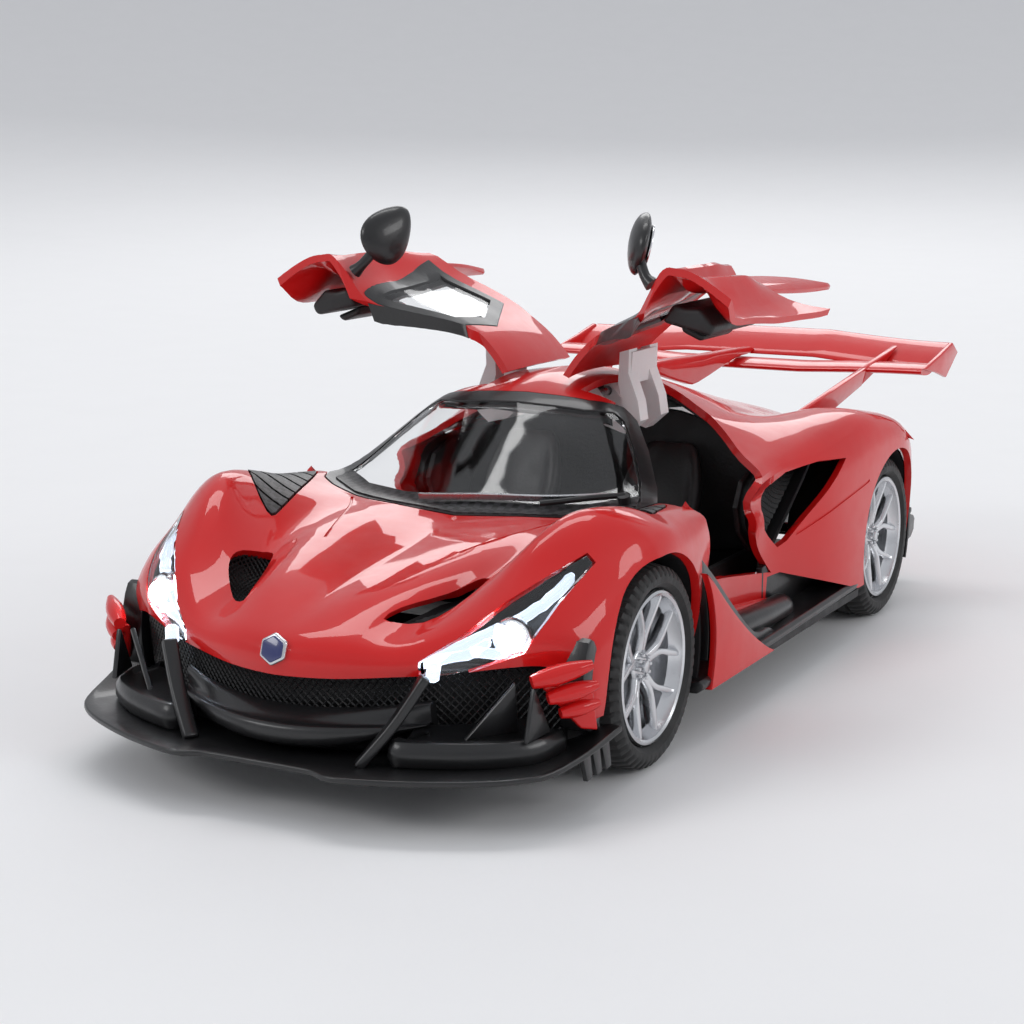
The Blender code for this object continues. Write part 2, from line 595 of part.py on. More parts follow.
def window_cutter(name, axle_y, side, spoke):
    """The gap between two of the rim's spokes."""
    shape = bmesh.new()
    middle = math.radians(90 + 360 / SPOKES * (spoke + 0.5))
    outline = [(4.6, -0.2), (4.6, 0.2), (RIM_RADIUS - RIM_WALL - 1.2, 0.44), (RIM_RADIUS - RIM_WALL - 0.9, 0.0),
               (RIM_RADIUS - RIM_WALL - 1.2, -0.44)]
    low = axle_point(side * (TYRE_X - 3.0), axle_y)
    corners = [low + Vector((0, r * math.cos(middle + a), r * math.sin(middle + a))) * MM for r, a in outline]
    face = shape.faces.new([shape.verts.new(p) for p in corners])
    raised = bmesh.ops.extrude_face_region(shape, geom=[face])["geom"]
    lifted = [v for v in raised if isinstance(v, bmesh.types.BMVert)]
    bmesh.ops.translate(shape, verts=lifted, vec=Vector((side * TYRE_WIDTH, 0, 0)) * MM)
    return object_of(f"cut_{name}", outward(shape), None)


def make_cabin():
    floor = FLOOR_Z + FLOOR_WALL + GAP
    outer = [(-36, floor), (-36, 18), (-30, 20), (16, 20), (19, 24), (19, floor)]
    tub = prism("interior_tub", outer, "X", -TUB_HALF_WIDTH, TUB_HALF_WIDTH, "matte_black")
    inside = TUB_HALF_WIDTH - TUB_WALL
    hollow = [(-34.6, floor + TUB_WALL), (-34.6, 40), (17.6, 40), (17.6, floor + TUB_WALL)]
    cut(tub, prism("cut_tub", hollow, "X", -inside, inside))
    seat_base = floor + TUB_WALL + GAP
    profile = [(-13, seat_base), (-13.6, 16.4), (-12, 17.8), (0, 16.6), (3.4, 19), (9.2, 36), (10.6, 38.6),
               (13.6, 38), (13.8, 35), (9.4, 16), (8, seat_base)]
    for side, label in ((1, "left"), (-1, "right")):
        middle = side * SEAT_X
        prism(f"{label}_seat", profile, "X", middle - SEAT_WIDTH / 2, middle + SEAT_WIDTH / 2, "matte_black")
    dash = [(-39, 20.4), (-39, 30), (-36, 31.6), (-28, 30.4), (-25.4, 28), (-26.4, 24), (-29.4, 20.4)]
    dash_half = TUB_HALF_WIDTH - DASH_INSET
    prism("dashboard", dash, "X", -dash_half, dash_half, "matte_black")
    shape = bmesh.new()
    upright = Matrix.Translation((HAND_RADIUS * MM, 0, 0)) @ Matrix.Rotation(math.pi / 2, 4, "X")
    bmesh.ops.create_circle(shape, radius=RING_RADIUS * MM, segments=6, matrix=upright)
    bmesh.ops.spin(shape, geom=shape.verts[:] + shape.edges[:], cent=(0, 0, 0), axis=(0, 0, 1),
                   angle=2 * math.pi, steps=20, use_merge=True)
    bmesh.ops.remove_doubles(shape, verts=shape.verts, dist=1e-6)
    place = Matrix.Translation(at(SEAT_X, -20.6, 26.6)) @ Matrix.Rotation(math.radians(68), 4, "X")
    bmesh.ops.transform(shape, matrix=place, verts=shape.verts)
    object_of("steering_wheel", outward(shape), "matte_black")


def make_rear():
    half = [(0, 32.6), (22, 31.4), (29, 31.4), (33.6, 30.4), (35.8, 28), (36.4, 21.4), (34.4, 17.4), (0, 17.4)]
    ring = half[:-1] + [(-x, z) for x, z in half[-2:0:-1]]
    back = REAR_PANEL_Y + PANEL_WALL
    prism("rear_panel", ring, "Y", REAR_PANEL_Y, back, "black_plastic")
    light = [(-31, 28.6), (31, 28.6), (31, 30.4), (-31, 30.4)]
    prism("tail_light", light, "Y", back + GAP, back + 1.4, "red_lens")
    floor = [(76.6, 9.8), (76.6, 11), (92, 15.6), (92, 14.4)]
    diffuser = prism("diffuser", floor, "X", -DIFFUSER_HALF, DIFFUSER_HALF, "black_plastic")
    fin = [(75.4, 8.6), (75.6, 14.6), (82, 16.2), (91, 14), (89.4, 9.4)]
    fins = [prism(f"fin_{i}", fin, "X", x - VANE_HALF, x + VANE_HALF) for i, x in enumerate(VANE_X)]
    join(diffuser, *fins)
    cut(diffuser, TOOLS["rear_arch"])
    plate = prism("exhaust_tips", [(-10, 18.4), (10, 18.4), (9, 24.4), (-9, 24.4)], "Y", back + GAP, back + 1.6,
                  "steel")
    tips = [at(x, back + 4, 21.4) for x in (-TIP_SPACING, 0.0, TIP_SPACING)]
    for i, tip in enumerate(tips):
        join(plate, rod(f"tip_{i}", tip, (0, 1, 0), TIP_RADIUS, TIP_LENGTH))
    for i, tip in enumerate(tips):
        deep = tip + Vector((0, 2 * MM, 0))
        cut(plate, rod(f"tip_bore_{i}", deep, (0, 1, 0), TIP_RADIUS - TIP_WALL, TIP_LENGTH))


def fin_shape(foot, head, side, wall):
    """A flat fin of one wall between two edges, each given by its two end points."""
    shape = bmesh.new()
    for x, y, z in (*foot, *head):
        for offset in (-wall / 2, wall / 2):
            shape.verts.new(at(side * (x + offset), y, z))
    bmesh.ops.convex_hull(shape, input=shape.verts)
    return outward(shape)


def make_wing():
    upper = [(86.6, 48.3), (87.4, 47.8), (92, 49.1), (97.8, 51.8), (97.4, 52.6), (91.4, 50.6)]
    lower = [(76.4, 46.4), (77.2, 45.6), (82, 45.3), (86.0, 46.2), (85.4, 47.0), (81, 47.2)]
    plate = [(76.8, 47.7), (88, 49.8), (96.6, 51.6), (100.6, 48.8), (92.3, 44.3)]
    wing = prism("rear_wing", upper, "X", -WING_HALF_SPAN, WING_HALF_SPAN, "red_paint")
    join(wing, prism("wing_lower_blade", lower, "X", -WING_HALF_SPAN, WING_HALF_SPAN))
    fin = [(33, 50.2), (36, 51.6), (85.4, 49.6), (85.2, 48.0), (76.0, 47.7), (56, 44.8), (50, 45.6), (40, 47.9)]
    prism("centre_fin", fin, "X", -CENTRE_FIN_HALF, CENTRE_FIN_HALF, "red_paint")
    for side, label in ((1, "left"), (-1, "right")):
        join(wing, prism(f"{label}_wing_end", plate, "X", side * WING_HALF_SPAN - PLATE_WALL / 2,
                         side * WING_HALF_SPAN + PLATE_WALL / 2))
        foot = [(26.0, 47, 42.0), (25.4, 65, 39.0)]
        head = [(29.9, 76.0, 47.4), (28.9, 76.0, 43.6)]
        object_of(f"{label}_wing_strut", fin_shape(foot, head, side, STRUT_WALL), "red_paint")
        foot = [(29.9, 76.6, 47.4), (29.1, 76.8, 45.4)]
        head = [(31.6, 92, 50.4), (30.6, 87.4, 47.8)]
        join(wing, object_of(f"{label}_strut_head", fin_shape(foot, head, side, STRUT_WALL), None))


def hinge_empty(label, side):
    """The door's hinge line, turned from closed to open."""
    hinge = bpy.data.objects.new(f"{label}_door_hinge", None)
    CAR.objects.link(hinge)
    hinge.location = at(side * HINGE_X, 0, HINGE_Z)
    hinge.rotation_euler = (0, -side * math.radians(DOOR_OPEN), 0)
    return hinge


def hang(obj, hinge):
    """Parents an object modelled in the closed place to the turned hinge line."""
    obj.parent = hinge
    obj.matrix_parent_inverse = Matrix.Translation(-hinge.location)
    return obj


def make_door(label, side):
    hinge = hinge_empty(label, side)

    def slab(name, outline, low, high, slot=None):
        near, far = sorted((side * low, side * high))
        return hang(prism(name, outline, "X", near, far, slot), hinge)

    skin = hang(body_surface(f"{label}_door", "red_paint", DOOR_WALL, side), hinge)
    keep(skin, slab(f"keep_{label}_door", DOOR_SIDE, DOOR_INNER_X, FAR))
    screen = prism(f"cut_{label}_door_screen", grown(SCREEN_PLAN, DOOR_GAP), "Z", SCREEN_LOW_Z, FAR)
    hang(screen, hinge)
    cut(skin, slab(f"cut_{label}_window", WINDOW_SIDE, 16, FAR), screen)
    pane = hang(body_surface(f"{label}_door_window", "clear_plastic", GLASS_WALL, side), hinge)
    keep(pane, slab(f"keep_{label}_window", grown(WINDOW_SIDE, -GAP), 17, FAR))
    card = [(29.8, 34.6), (34.0, 33.6), (33.8, 31.6), (35.2, 29.2), (33.2, 25.4), (31, 25.8)]
    hang(prism(f"{label}_door_card", [(side * x, z) for x, z in card], "Y", -28.5, -7, "matte_black"), hinge)
    make_bracket(label, side, hinge)
    make_mirror(label, side, hinge)


def make_bracket(label, side, hinge):
    """The goose-neck legs that carry a door, in the closed place."""
    leg = [(0.6, -1.6), (1.6, 0.3), (0.8, 0.95), (-0.6, 0.95), (-1.6, 0.2), (-3.4, -5.6), (-3.0, -9.6),
           (0.6, -11.4), (3.6, -9.6), (7.4, -6.0), (11.4, -4.5), (10.2, -3.0), (5.0, -4.8), (1.4, -7.4),
           (0.2, -8.6), (-1.2, -7.8), (-1.4, -6.4)]
    points = [(side * (HINGE_X + x), HINGE_Z + z) for x, z in leg]
    front = hang(prism(f"{label}_door_bracket", points, "Y", FRONT_LEG_Y, FRONT_LEG_Y + LEG_WIDTH,
                       "hinge_white"), hinge)
    rear = hang(prism(f"{label}_rear_leg", points, "Y", REAR_LEG_Y, REAR_LEG_Y + LEG_WIDTH), hinge)
    bridge = [(5.4, -5.4), (11.0, -3.8), (10.8, -3.0), (5.4, -4.4)]
    plate = hang(prism(f"{label}_bridge", [(side * (HINGE_X + x), HINGE_Z + z - 1.2) for x, z in bridge], "Y",
                       FRONT_LEG_Y + 1, REAR_LEG_Y + LEG_WIDTH - 1), hinge)
    join(front, rear, plate)
    middle = (FRONT_LEG_Y + REAR_LEG_Y + LEG_WIDTH) / 2
    bore = hang(rod(f"{label}_bracket_bore", at(side * HINGE_X, middle, HINGE_Z), (0, 1, 0),
                    PIN_RADIUS + GAP / 2, 60), hinge)
    cut(front, bore)
    rod(f"{label}_hinge_pin", at(side * HINGE_X, middle, HINGE_Z), (0, 1, 0), PIN_RADIUS,
        (REAR_LEG_Y - FRONT_LEG_Y + LEG_WIDTH + 4) * LONG, "steel", 10)


def make_mirror(label, side, hinge):
    """The door mirror on its stalk, in the closed place: a flat teardrop head whose point is at its far end."""
    foot, neck, tip, facing = (Vector(p) * Vector((side, 1, 1)) for p in
                               (MIRROR_FOOT, MIRROR_NECK, MIRROR_TIP, MIRROR_FACING))
    foot, neck, tip = at(*foot), at(*neck), at(*tip)
    along = (tip - neck).normalized()
    stalk_end = neck + along * STALK_RADIUS * 2 * MM
    shape = rod_shape((foot + stalk_end) / 2, stalk_end - foot, STALK_RADIUS, (stalk_end - foot).length / MM, 8)
    stalk = object_of(f"{label}_stalk", shape, None)
    facing = (facing - along * facing.dot(along)).normalized()
    shape = bmesh.new()
    bmesh.ops.create_uvsphere(shape, u_segments=14, v_segments=8, radius=1.0)
    for vert in shape.verts:
        vert.co.x *= 1.0 - MIRROR_TAPER * vert.co.z
    half_length = (tip - neck).length / 2
    bmesh.ops.scale(shape, vec=Vector((MIRROR_HALF_WIDTH * MM, MIRROR_HALF_DEPTH * MM, half_length)),
                    verts=shape.verts)
    turn = Matrix((facing.cross(along), facing, along)).transposed().to_4x4()
    bmesh.ops.transform(shape, matrix=Matrix.Translation((neck + tip) / 2) @ turn, verts=shape.verts)
    head = hang(object_of(f"{label}_mirror", shape, "black_plastic"), hinge)
    join(head, hang(stalk, hinge))


for startup_object in list(bpy.data.objects):
    bpy.data.objects.remove(startup_object)
CAR = collection("collector_car")
CUTTERS = collection("cutters")
BODY_HEIGHT = surface_lookup()
TOOLS = make_cutters()
make_body(TOOLS)
make_screen()
make_front()
make_lights()
make_sides()
make_floor()
make_wheels()
make_cabin()
make_rear()
make_wing()
for door_side, door_label in ((1, "left"), (-1, "right")):
    make_door(door_label, door_side)
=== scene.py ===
"""The looks of the diecast collector car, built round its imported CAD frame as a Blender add-on."""

import json
import math

import bmesh
import bpy
from mathutils import Matrix, Vector
from mathutils.bvhtree import BVHTree


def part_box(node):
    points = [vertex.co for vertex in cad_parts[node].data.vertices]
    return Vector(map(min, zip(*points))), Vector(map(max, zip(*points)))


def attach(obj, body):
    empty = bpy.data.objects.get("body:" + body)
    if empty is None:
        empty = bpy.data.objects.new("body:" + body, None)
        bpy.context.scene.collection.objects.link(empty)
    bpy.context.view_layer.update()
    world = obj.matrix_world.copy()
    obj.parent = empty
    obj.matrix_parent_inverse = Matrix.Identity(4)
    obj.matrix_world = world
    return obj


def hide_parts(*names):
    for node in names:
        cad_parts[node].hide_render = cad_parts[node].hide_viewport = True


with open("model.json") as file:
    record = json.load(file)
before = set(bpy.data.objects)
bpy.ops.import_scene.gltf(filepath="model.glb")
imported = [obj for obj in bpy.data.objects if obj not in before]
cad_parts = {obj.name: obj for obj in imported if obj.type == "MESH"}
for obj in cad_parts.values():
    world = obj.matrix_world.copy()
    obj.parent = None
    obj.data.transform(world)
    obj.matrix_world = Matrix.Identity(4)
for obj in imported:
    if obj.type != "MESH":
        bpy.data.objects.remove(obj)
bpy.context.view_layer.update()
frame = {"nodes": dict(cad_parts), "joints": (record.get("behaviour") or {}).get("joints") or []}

bl_info = {
    "name": "Collector Car",
    "version": (1, 0, 0),
    "blender": (4, 5, 0),
    "location": "View3D > Sidebar > Car",
    "description": "Builds a diecast track car with opening doors, piece by piece",
    "category": "Add Mesh",
}

MM = 0.001

# The outlines below are drawn for these sizes, in mm, and stretch with the frame.
BASE_WHEELBASE, BASE_PANEL_HALF_WIDTH, BASE_HEIGHT = 112.5, 36.4, 54.8


def middle(node):
    low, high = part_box(node)
    return (low + high) / 2


FRONT_AXLE, REAR_AXLE = middle("front_axle"), middle("rear_axle")
MIDPOINT_Y = (FRONT_AXLE.y + REAR_AXLE.y) / 2
LONG = (REAR_AXLE.y - FRONT_AXLE.y) / (BASE_WHEELBASE * MM)
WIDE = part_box("rear_panel")[1].x / (BASE_PANEL_HALF_WIDTH * MM)
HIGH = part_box("body_shell")[1].z / (BASE_HEIGHT * MM)
TYRE_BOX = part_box("left_front_tyre")
RIM_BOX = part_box("left_front_rim")
TYRE_RADIUS = (TYRE_BOX[1].z - TYRE_BOX[0].z) / 2
RIM_RADIUS = (RIM_BOX[1].z - RIM_BOX[0].z) / 2
WHEEL_Z = middle("left_front_tyre").z
WHEEL_X = middle("left_front_tyre").x
TYRE_HALF = (TYRE_BOX[1].x - TYRE_BOX[0].x) / 2
ARCH_RADIUS = TYRE_RADIUS + 2 * MM
ARCH_INNER_X = TYRE_BOX[0].x - 1 * MM
FAR = 70.0
SIDES = ((1, "left"), (-1, "right"))
JOINTS = {joint["name"]: joint for joint in frame["joints"]}

# Body stations from nose to tail: (y at the centreline, sweep of the outer edge, half section of x, z).
# The ten points of a section are the centreline, the spine's edge, the channel beside it, the rise out
# of the channel, the crest, the shoulder, the groove, the flank, the sill's top and the lower edge.
STATIONS = [
    (-99.0, 19.0, (0, 20.2), (9, 20.3), (17, 20.8), (24, 21.2), (30.5, 22), (35.5, 22.2), (39.4, 21),
     (41, 18.6), (41.4, 15.8), (40.8, 13.6)),
    (-99.4, 19.6, (0, 22.4), (9, 22.6), (17, 22.8), (24, 23.6), (30.6, 25.2), (36, 26.4), (40.4, 24.6),
     (41.9, 20.4), (42, 16.4), (41.4, 13.6)),
    (-98.4, 22.5, (0, 24.8), (9, 25.1), (17, 24.9), (24, 27), (30, 29.6), (36, 31), (41, 28.6),
     (42.8, 23), (42.8, 17), (42.2, 13.6)),
    (-94.6, 25.0, (0, 26.7), (9.8, 27.3), (17, 26.2), (23.6, 29.6), (29.8, 34), (36.2, 34.9),
     (41.6, 31.6), (43.3, 25), (43.4, 17.6), (42.8, 11.8)),
    (-86.5, 21.0, (0, 28.9), (11.2, 30.4), (17.2, 27.9), (23.4, 32), (30.2, 38.4), (36.8, 38.2),
     (42, 33.4), (43.6, 26.4), (43.6, 18), (43, 11.8)),
    (-77.0, 15.0, (0, 30.7), (12.6, 32.2), (19.2, 30.4), (25, 34.8), (31.2, 41.1), (37.4, 40.1),
     (42.4, 35), (43.8, 27.4), (43.8, 18.4), (43.2, 11.8)),
    (-66.0, 7.0, (0, 32.3), (13.6, 33.6), (21.4, 33), (27.4, 36.8), (33.2, 41.5), (38.4, 40),
     (42.6, 35.8), (43.8, 28.2), (43.8, 18.8), (43.2, 11.8)),
    (-56.0, 3.0, (0, 33.5), (13.8, 34.6), (22, 34.5), (28.4, 37), (34.4, 40.4), (39, 39),
     (42.6, 35.9), (43.7, 28.2), (43.6, 18.8), (42.8, 11.8)),
    (-46.5, 1.0, (0, 34.4), (12, 35.2), (21, 35.4), (28, 36.6), (34, 38.6), (38.9, 37.4),
     (42, 34.8), (43.2, 28.4), (43, 18.8), (41.6, 12)),
    (-42.8, 10.0, (0, 35.6), (11, 35.8), (20, 36), (28, 36.6), (33.6, 37.6), (38.9, 36.2),
     (40.2, 34), (40.6, 30), (39.5, 22), (37.6, 12.5)),
    (-36.0, 9.5, (0, 40.4), (10.5, 40.3), (19, 39.8), (26.8, 38.8), (33.4, 37.4), (39.2, 35.4),
     (37.8, 32.8), (39.6, 30.4), (36.2, 24.2), (35.6, 12.5)),
    (-28.0, 8.0, (0, 46.4), (10, 46.2), (17.6, 45.6), (24.2, 43.4), (33, 37.6), (39.2, 35.4),
     (36.9, 32.5), (39.5, 30), (35.8, 23.6), (35.4, 12.5)),
    (-20.5, 5.0, (0, 51.8), (9.4, 51.4), (16, 50.2), (21.2, 47.4), (32.4, 38), (39, 35.6),
     (36.7, 32.5), (39.4, 29.7), (35.7, 23.4), (35.4, 12.5)),
    (-13.0, 2.0, (0, 54.2), (9, 53.2), (15, 51.5), (20.2, 48.6), (31.6, 39), (38.8, 35.9),
     (36.6, 32.5), (39.2, 29.4), (35.6, 23.2), (35.4, 12.5)),
    (-4.0, 0.0, (0, 54.8), (9, 53.6), (15, 51.6), (20.4, 48.4), (30.8, 40.2), (37.6, 36.6),
     (36.1, 32.7), (37.4, 29), (35.9, 22.8), (35.6, 12.5)),
    (5.0, 0.0, (0, 54.2), (9, 52.9), (15.4, 50.6), (21, 47.4), (30.4, 41.2), (36.9, 37.4),
     (35.9, 33), (36.6, 28.6), (36.4, 22), (36.4, 12.5)),
    (14.0, 0.0, (0, 52.8), (9.4, 51.4), (15.8, 49), (21.6, 46), (30.4, 42), (37.6, 38.5),
     (38.4, 33.6), (38.8, 27.8), (39, 20.5), (38.6, 11.4)),
    (23.0, 0.0, (0, 50.6), (9.8, 49.2), (16.4, 46.8), (22.2, 44.4), (30.6, 42.6), (38.6, 40),
     (41.2, 34.6), (41.8, 27.4), (41.8, 19), (41.4, 10.6)),
    (32.0, 0.0, (0, 48.2), (10, 46.9), (16.8, 44.6), (22.6, 42.8), (31, 43), (39.2, 41.8),
     (42.6, 36), (43.2, 27.6), (43.4, 18.4), (43.2, 10)),
    (42.0, 0.0, (0, 45.7), (10, 44.5), (17, 42.4), (23, 41.4), (31.6, 43.4), (40, 42.7),
     (43.4, 37.2), (43.8, 28), (43.8, 18.4), (43.6, 10)),
    (52.0, 0.0, (0, 43.4), (10, 42.2), (17.2, 40.1), (23.4, 39.6), (32.4, 42), (40.4, 41.5),
     (43.8, 37.2), (44, 28.2), (44, 18.6), (43.8, 10.6)),
    (62.0, 0.0, (0, 41.4), (10, 40.2), (17.4, 38.2), (23.8, 37.7), (33, 40.1), (40, 39.8),
     (43.6, 36.4), (44, 28.2), (44, 18.8), (43.8, 11.4)),
    (72.0, -2.5, (0, 39.2), (10, 38.1), (17.4, 36.3), (24, 36), (32.6, 38.1), (38.4, 37.6),
     (42.2, 34.8), (43, 28), (43, 19.4), (42.6, 12.6)),
    (81.0, -5.5, (0, 37), (10, 36), (17.4, 34.4), (24, 34.4), (31.2, 36.2), (36.6, 35.8),
     (40.2, 33), (41, 27.8), (41, 20.4), (40.4, 14.4)),
    (90.0, -10.0, (0, 34.8), (10, 33.9), (17, 32.7), (23.6, 33), (29.4, 34.4), (34.4, 34),
     (37.8, 31.4), (38.6, 27.2), (38.6, 21.6), (38, 16.6)),
]
SWEEP_AT_X = 40.0
SWEEP_POWER = 1.6
BODY_WALL = 1.4

# Outlines of the openings in the body. Side views are (y, z), plan views (x, y), front views (x, z).
DOOR_SIDE = [(-32.4, 23.4), (-32.4, 36.4), (-24.2, 43.4), (-16.4, 49.6), (-15.4, 60), (9, 60), (10, 50),
             (8.5, 46), (2.5, 40.5), (-2.6, 35.5), (-4.2, 31.2), (-3, 27), (1, 22.8), (5.5, 18.6),
             (-6, 20.4), (-20, 22.4)]
WINDOW_SIDE = [(-28.2, 38.6), (-17.4, 47.2), (-9, 48.6), (1.5, 45.4), (-4.6, 38.8)]
SCREEN_PLAN = [(-31.8, -34.2), (-24, -41.2), (-14, -44.4), (0, -45.6), (14, -44.4), (24, -41.2),
               (31.8, -34.2), (20.6, -17.8), (12, -19.4), (0, -20), (-12, -19.4), (-20.6, -17.8)]
SCREEN_BORDER = 2.4
HEADLIGHT_FRONT = [(20.8, 21.4), (23, 20.9), (27, 21.9), (33.4, 24.4), (35.4, 28.6), (37.6, 35.2),
                   (36.6, 36.2), (30, 31), (25, 26), (20.8, 23)]
HOOD_VENT_PLAN = [(12.4, -88.8), (20.4, -81.4), (22.6, -76), (19.6, -70.6), (16.6, -77)]
LOUVRE_PLAN = [(26, -62.5), (37, -52.6), (36, -43), (34, -35.4), (31, -41), (26, -57)]
INTAKE_SIDE = [(30, 36.2), (21, 36.8), (10, 36.2), (3.6, 34), (1.6, 30.6), (3, 26.6), (8, 22.6), (10.6, 23.4)]
PILLAR_SIDE = [(-32.6, 35.6), (-34.6, 37.6), (-17.4, 52), (-15, 49.6)]
LOWER_CUT_SIDE = [(3.5, 6), (5, 17.6), (9, 17.8), (37.6, 9.4), (38.4, 6)]

# Clearances and depths that the openings share with the frame, in mm
GAP = 0.3
DOOR_GAP = 0.45
DOOR_INNER_X = 10.2
ROOF_GAP = 1.1
INTAKE_DEPTH_X = 31.2
PILLAR_X = (16.0, 36.0)
SILL_CUT_X = 30.0
LAMP_BACK_Y = -64.0
VENT_LOW_Z = 24.0
PLAN_CUT_Z = 30.0
# The gap and wall of the black skin of painted shade inside the roof
SHADE_SHEET_GAP, SHADE_SHEET_WALL = 0.35, 0.5
LAMP_DEPTH, LAMP_BOWL_WALL = 4.6, 0.8
GUIDE_DEPTH, TOOTH_WIDTH = 1.6, 1.5

# The door mirror in the shut place: where its stalk starts and ends, its far end, and where its glass looks
MIRROR_FOOT = (35.4, -30.2, 37.8)
MIRROR_NECK = (36.8, -29.5, 41.4)
MIRROR_TIP = (43.3, -21.1, 46.6)
MIRROR_FACING = (0.11, 0.45, -0.88)
MIRROR_HALF_WIDTH = 4.4
MIRROR_HALF_DEPTH = 2.2
MIRROR_TAPER = 0.34


def at(x, y, z):
    """The world point, in metres, of a point on the base outlines, in mm."""
    return Vector((x * WIDE * MM, y * LONG * MM + MIDPOINT_Y, z * HIGH * MM))


def colour_property(name, description, default):
    return bpy.props.FloatVectorProperty(name=name, description=description, default=default,
                                         subtype="COLOR", size=3, min=0, max=1)


class CarColours(bpy.types.PropertyGroup):
    """The finishes that a user would change."""

    paint: colour_property("Paint", "Colour of the painted body", (0.66, 0.008, 0.008))
    trim: colour_property("Trim", "Colour of the black plastic trim", (0.011, 0.011, 0.012))
    cabin: colour_property("Cabin", "Colour of the moulded cabin", (0.014, 0.014, 0.015))
    rubber: colour_property("Rubber", "Colour of the tyres", (0.013, 0.013, 0.013))
    silver: colour_property("Silver", "Colour of the wheels", (0.74, 0.75, 0.77))
    hinge: colour_property("Hinge", "Colour of the door brackets", (0.86, 0.80, 0.80))
    enamel: colour_property("Enamel", "Colour of the plain nose badge", (0.02, 0.03, 0.16))
    stage: colour_property("Stage", "Colour of the floor and the backdrop", (0.86, 0.86, 0.865))


class CarSizes(bpy.types.PropertyGroup):
    """The sizes that a user would change."""

    mesh_pitch: bpy.props.FloatProperty(
        name="Mesh pitch", description="Distance between the holes of the black meshes", unit="LENGTH",
        default=1.25 * MM, min=0.6 * MM, max=4 * MM)
    mesh_wire: bpy.props.FloatProperty(
        name="Mesh wire", description="Thickness of the black meshes", unit="LENGTH",
        default=0.42 * MM, min=0.1 * MM, max=1 * MM)
    groove: bpy.props.FloatProperty(
        name="Panel groove", description="Radius of the grooves between the body's panels", unit="LENGTH",
        default=0.28 * MM, min=0.1 * MM, max=1 * MM)
    spokes: bpy.props.IntProperty(
        name="Spokes", description="Number of double spokes in a wheel", default=5, min=3, max=12)
    tread_blocks: bpy.props.IntProperty(
        name="Tread blocks", description="Number of shoulder blocks round a tyre", default=54, min=20, max=90)
    lamp_glow: bpy.props.FloatProperty(
        name="Lamp glow", description="Strength of the light from the headlamps", default=16.0, min=0,
        max=100)


def colours():
    return bpy.context.scene.car_colours


def sizes():
    return bpy.context.scene.car_sizes


# ---- Finishes -----------------------------------------------------------------------------------------


def new_finish(name):
    made = bpy.data.materials.new(name)
    made.use_nodes = True
    nodes = made.node_tree.nodes
    return made, nodes, made.node_tree.links, nodes["Principled BSDF"]


def noise(nodes, links, scale, detail=3.0, roughness=0.5):
    place = nodes.get("place") or nodes.new("ShaderNodeTexCoord")
    place.name = "place"
    made = nodes.new("ShaderNodeTexNoise")
    made.inputs["Scale"].default_value = scale
    made.inputs["Detail"].default_value = detail
    made.inputs["Roughness"].default_value = roughness
    links.new(place.outputs["Object"], made.inputs["Vector"])
    return made.outputs["Fac"]


def spread(nodes, links, value, low, high):
    """The value, mostly between 0.3 and 0.7, spread between two limits."""
    made = nodes.new("ShaderNodeMapRange")
    made.inputs["From Min"].default_value = 0.3
    made.inputs["From Max"].default_value = 0.7
    made.inputs["To Min"].default_value = low
    made.inputs["To Max"].default_value = high
    links.new(value, made.inputs["Value"])
    return made.outputs["Result"]


def tinted(nodes, links, value, dark, light):
    made = nodes.new("ShaderNodeMix")
    made.data_type = "RGBA"
    made.inputs["A"].default_value = (*dark, 1)
    made.inputs["B"].default_value = (*light, 1)
    links.new(value, made.inputs["Factor"])
    return made.outputs["Result"]


def bump(nodes, links, shader, height, strength, distance):
    made = nodes.new("ShaderNodeBump")
    made.inputs["Strength"].default_value = strength
    made.inputs["Distance"].default_value = distance
    links.new(height, made.inputs["Height"])
    links.new(made.outputs["Normal"], shader.inputs["Normal"])


def plain_finish(name, colour, roughness, grain, depth, shade=0.25, metallic=0.0, coat=0.0, sheen=0.0,
                 specular=0.5):
    """A moulded or painted finish: two shades of one colour, uneven gloss, and a fine grain in relief."""
    made, nodes, links, shader = new_finish(name)
    shader.inputs["Metallic"].default_value = metallic
    shader.inputs["Coat Weight"].default_value = coat
    shader.inputs["Coat Roughness"].default_value = 0.03
    shader.inputs["Sheen Weight"].default_value = sheen
    shader.inputs["Specular IOR Level"].default_value = specular
    broad = spread(nodes, links, noise(nodes, links, 45.0), 0.0, 1.0)
    dark = tuple(c * (1 - shade) for c in colour)
    links.new(tinted(nodes, links, broad, dark, colour), shader.inputs["Base Color"])
    mid = spread(nodes, links, noise(nodes, links, 260.0, 5.0), roughness * 0.85, roughness * 1.15)
    links.new(mid, shader.inputs["Roughness"])
    bump(nodes, links, shader, noise(nodes, links, grain, 2.0), 1.0, depth)
    return made


def red_paint():
    return plain_finish("red_gloss_paint", colours().paint, 0.42, 420.0, 0.004 * MM, shade=0.10, coat=0.75,
                        specular=0.15)


def black_trim():
    return plain_finish("black_semi_gloss_trim", colours().trim, 0.34, 1500.0, 0.02 * MM, coat=0.25)


def black_mesh():
    return plain_finish("black_mesh_moulding", colours().trim, 0.42, 1800.0, 0.02 * MM)


def black_floor():
    return plain_finish("black_floor_moulding", colours().cabin, 0.55, 1200.0, 0.05 * MM)


def cabin_black():
    return plain_finish("black_cabin_moulding", colours().cabin, 0.48, 1600.0, 0.05 * MM)


def tyre_rubber():
    return plain_finish("tyre_rubber", colours().rubber, 0.62, 1400.0, 0.05 * MM, sheen=0.05)


def silver_plating():
    return plain_finish("silver_wheel_plating", colours().silver, 0.24, 900.0, 0.006 * MM, 0.08, metallic=1.0)


def bright_steel():
    return plain_finish("bright_steel", (0.55, 0.56, 0.58), 0.28, 1100.0, 0.01 * MM, 0.12, metallic=1.0)


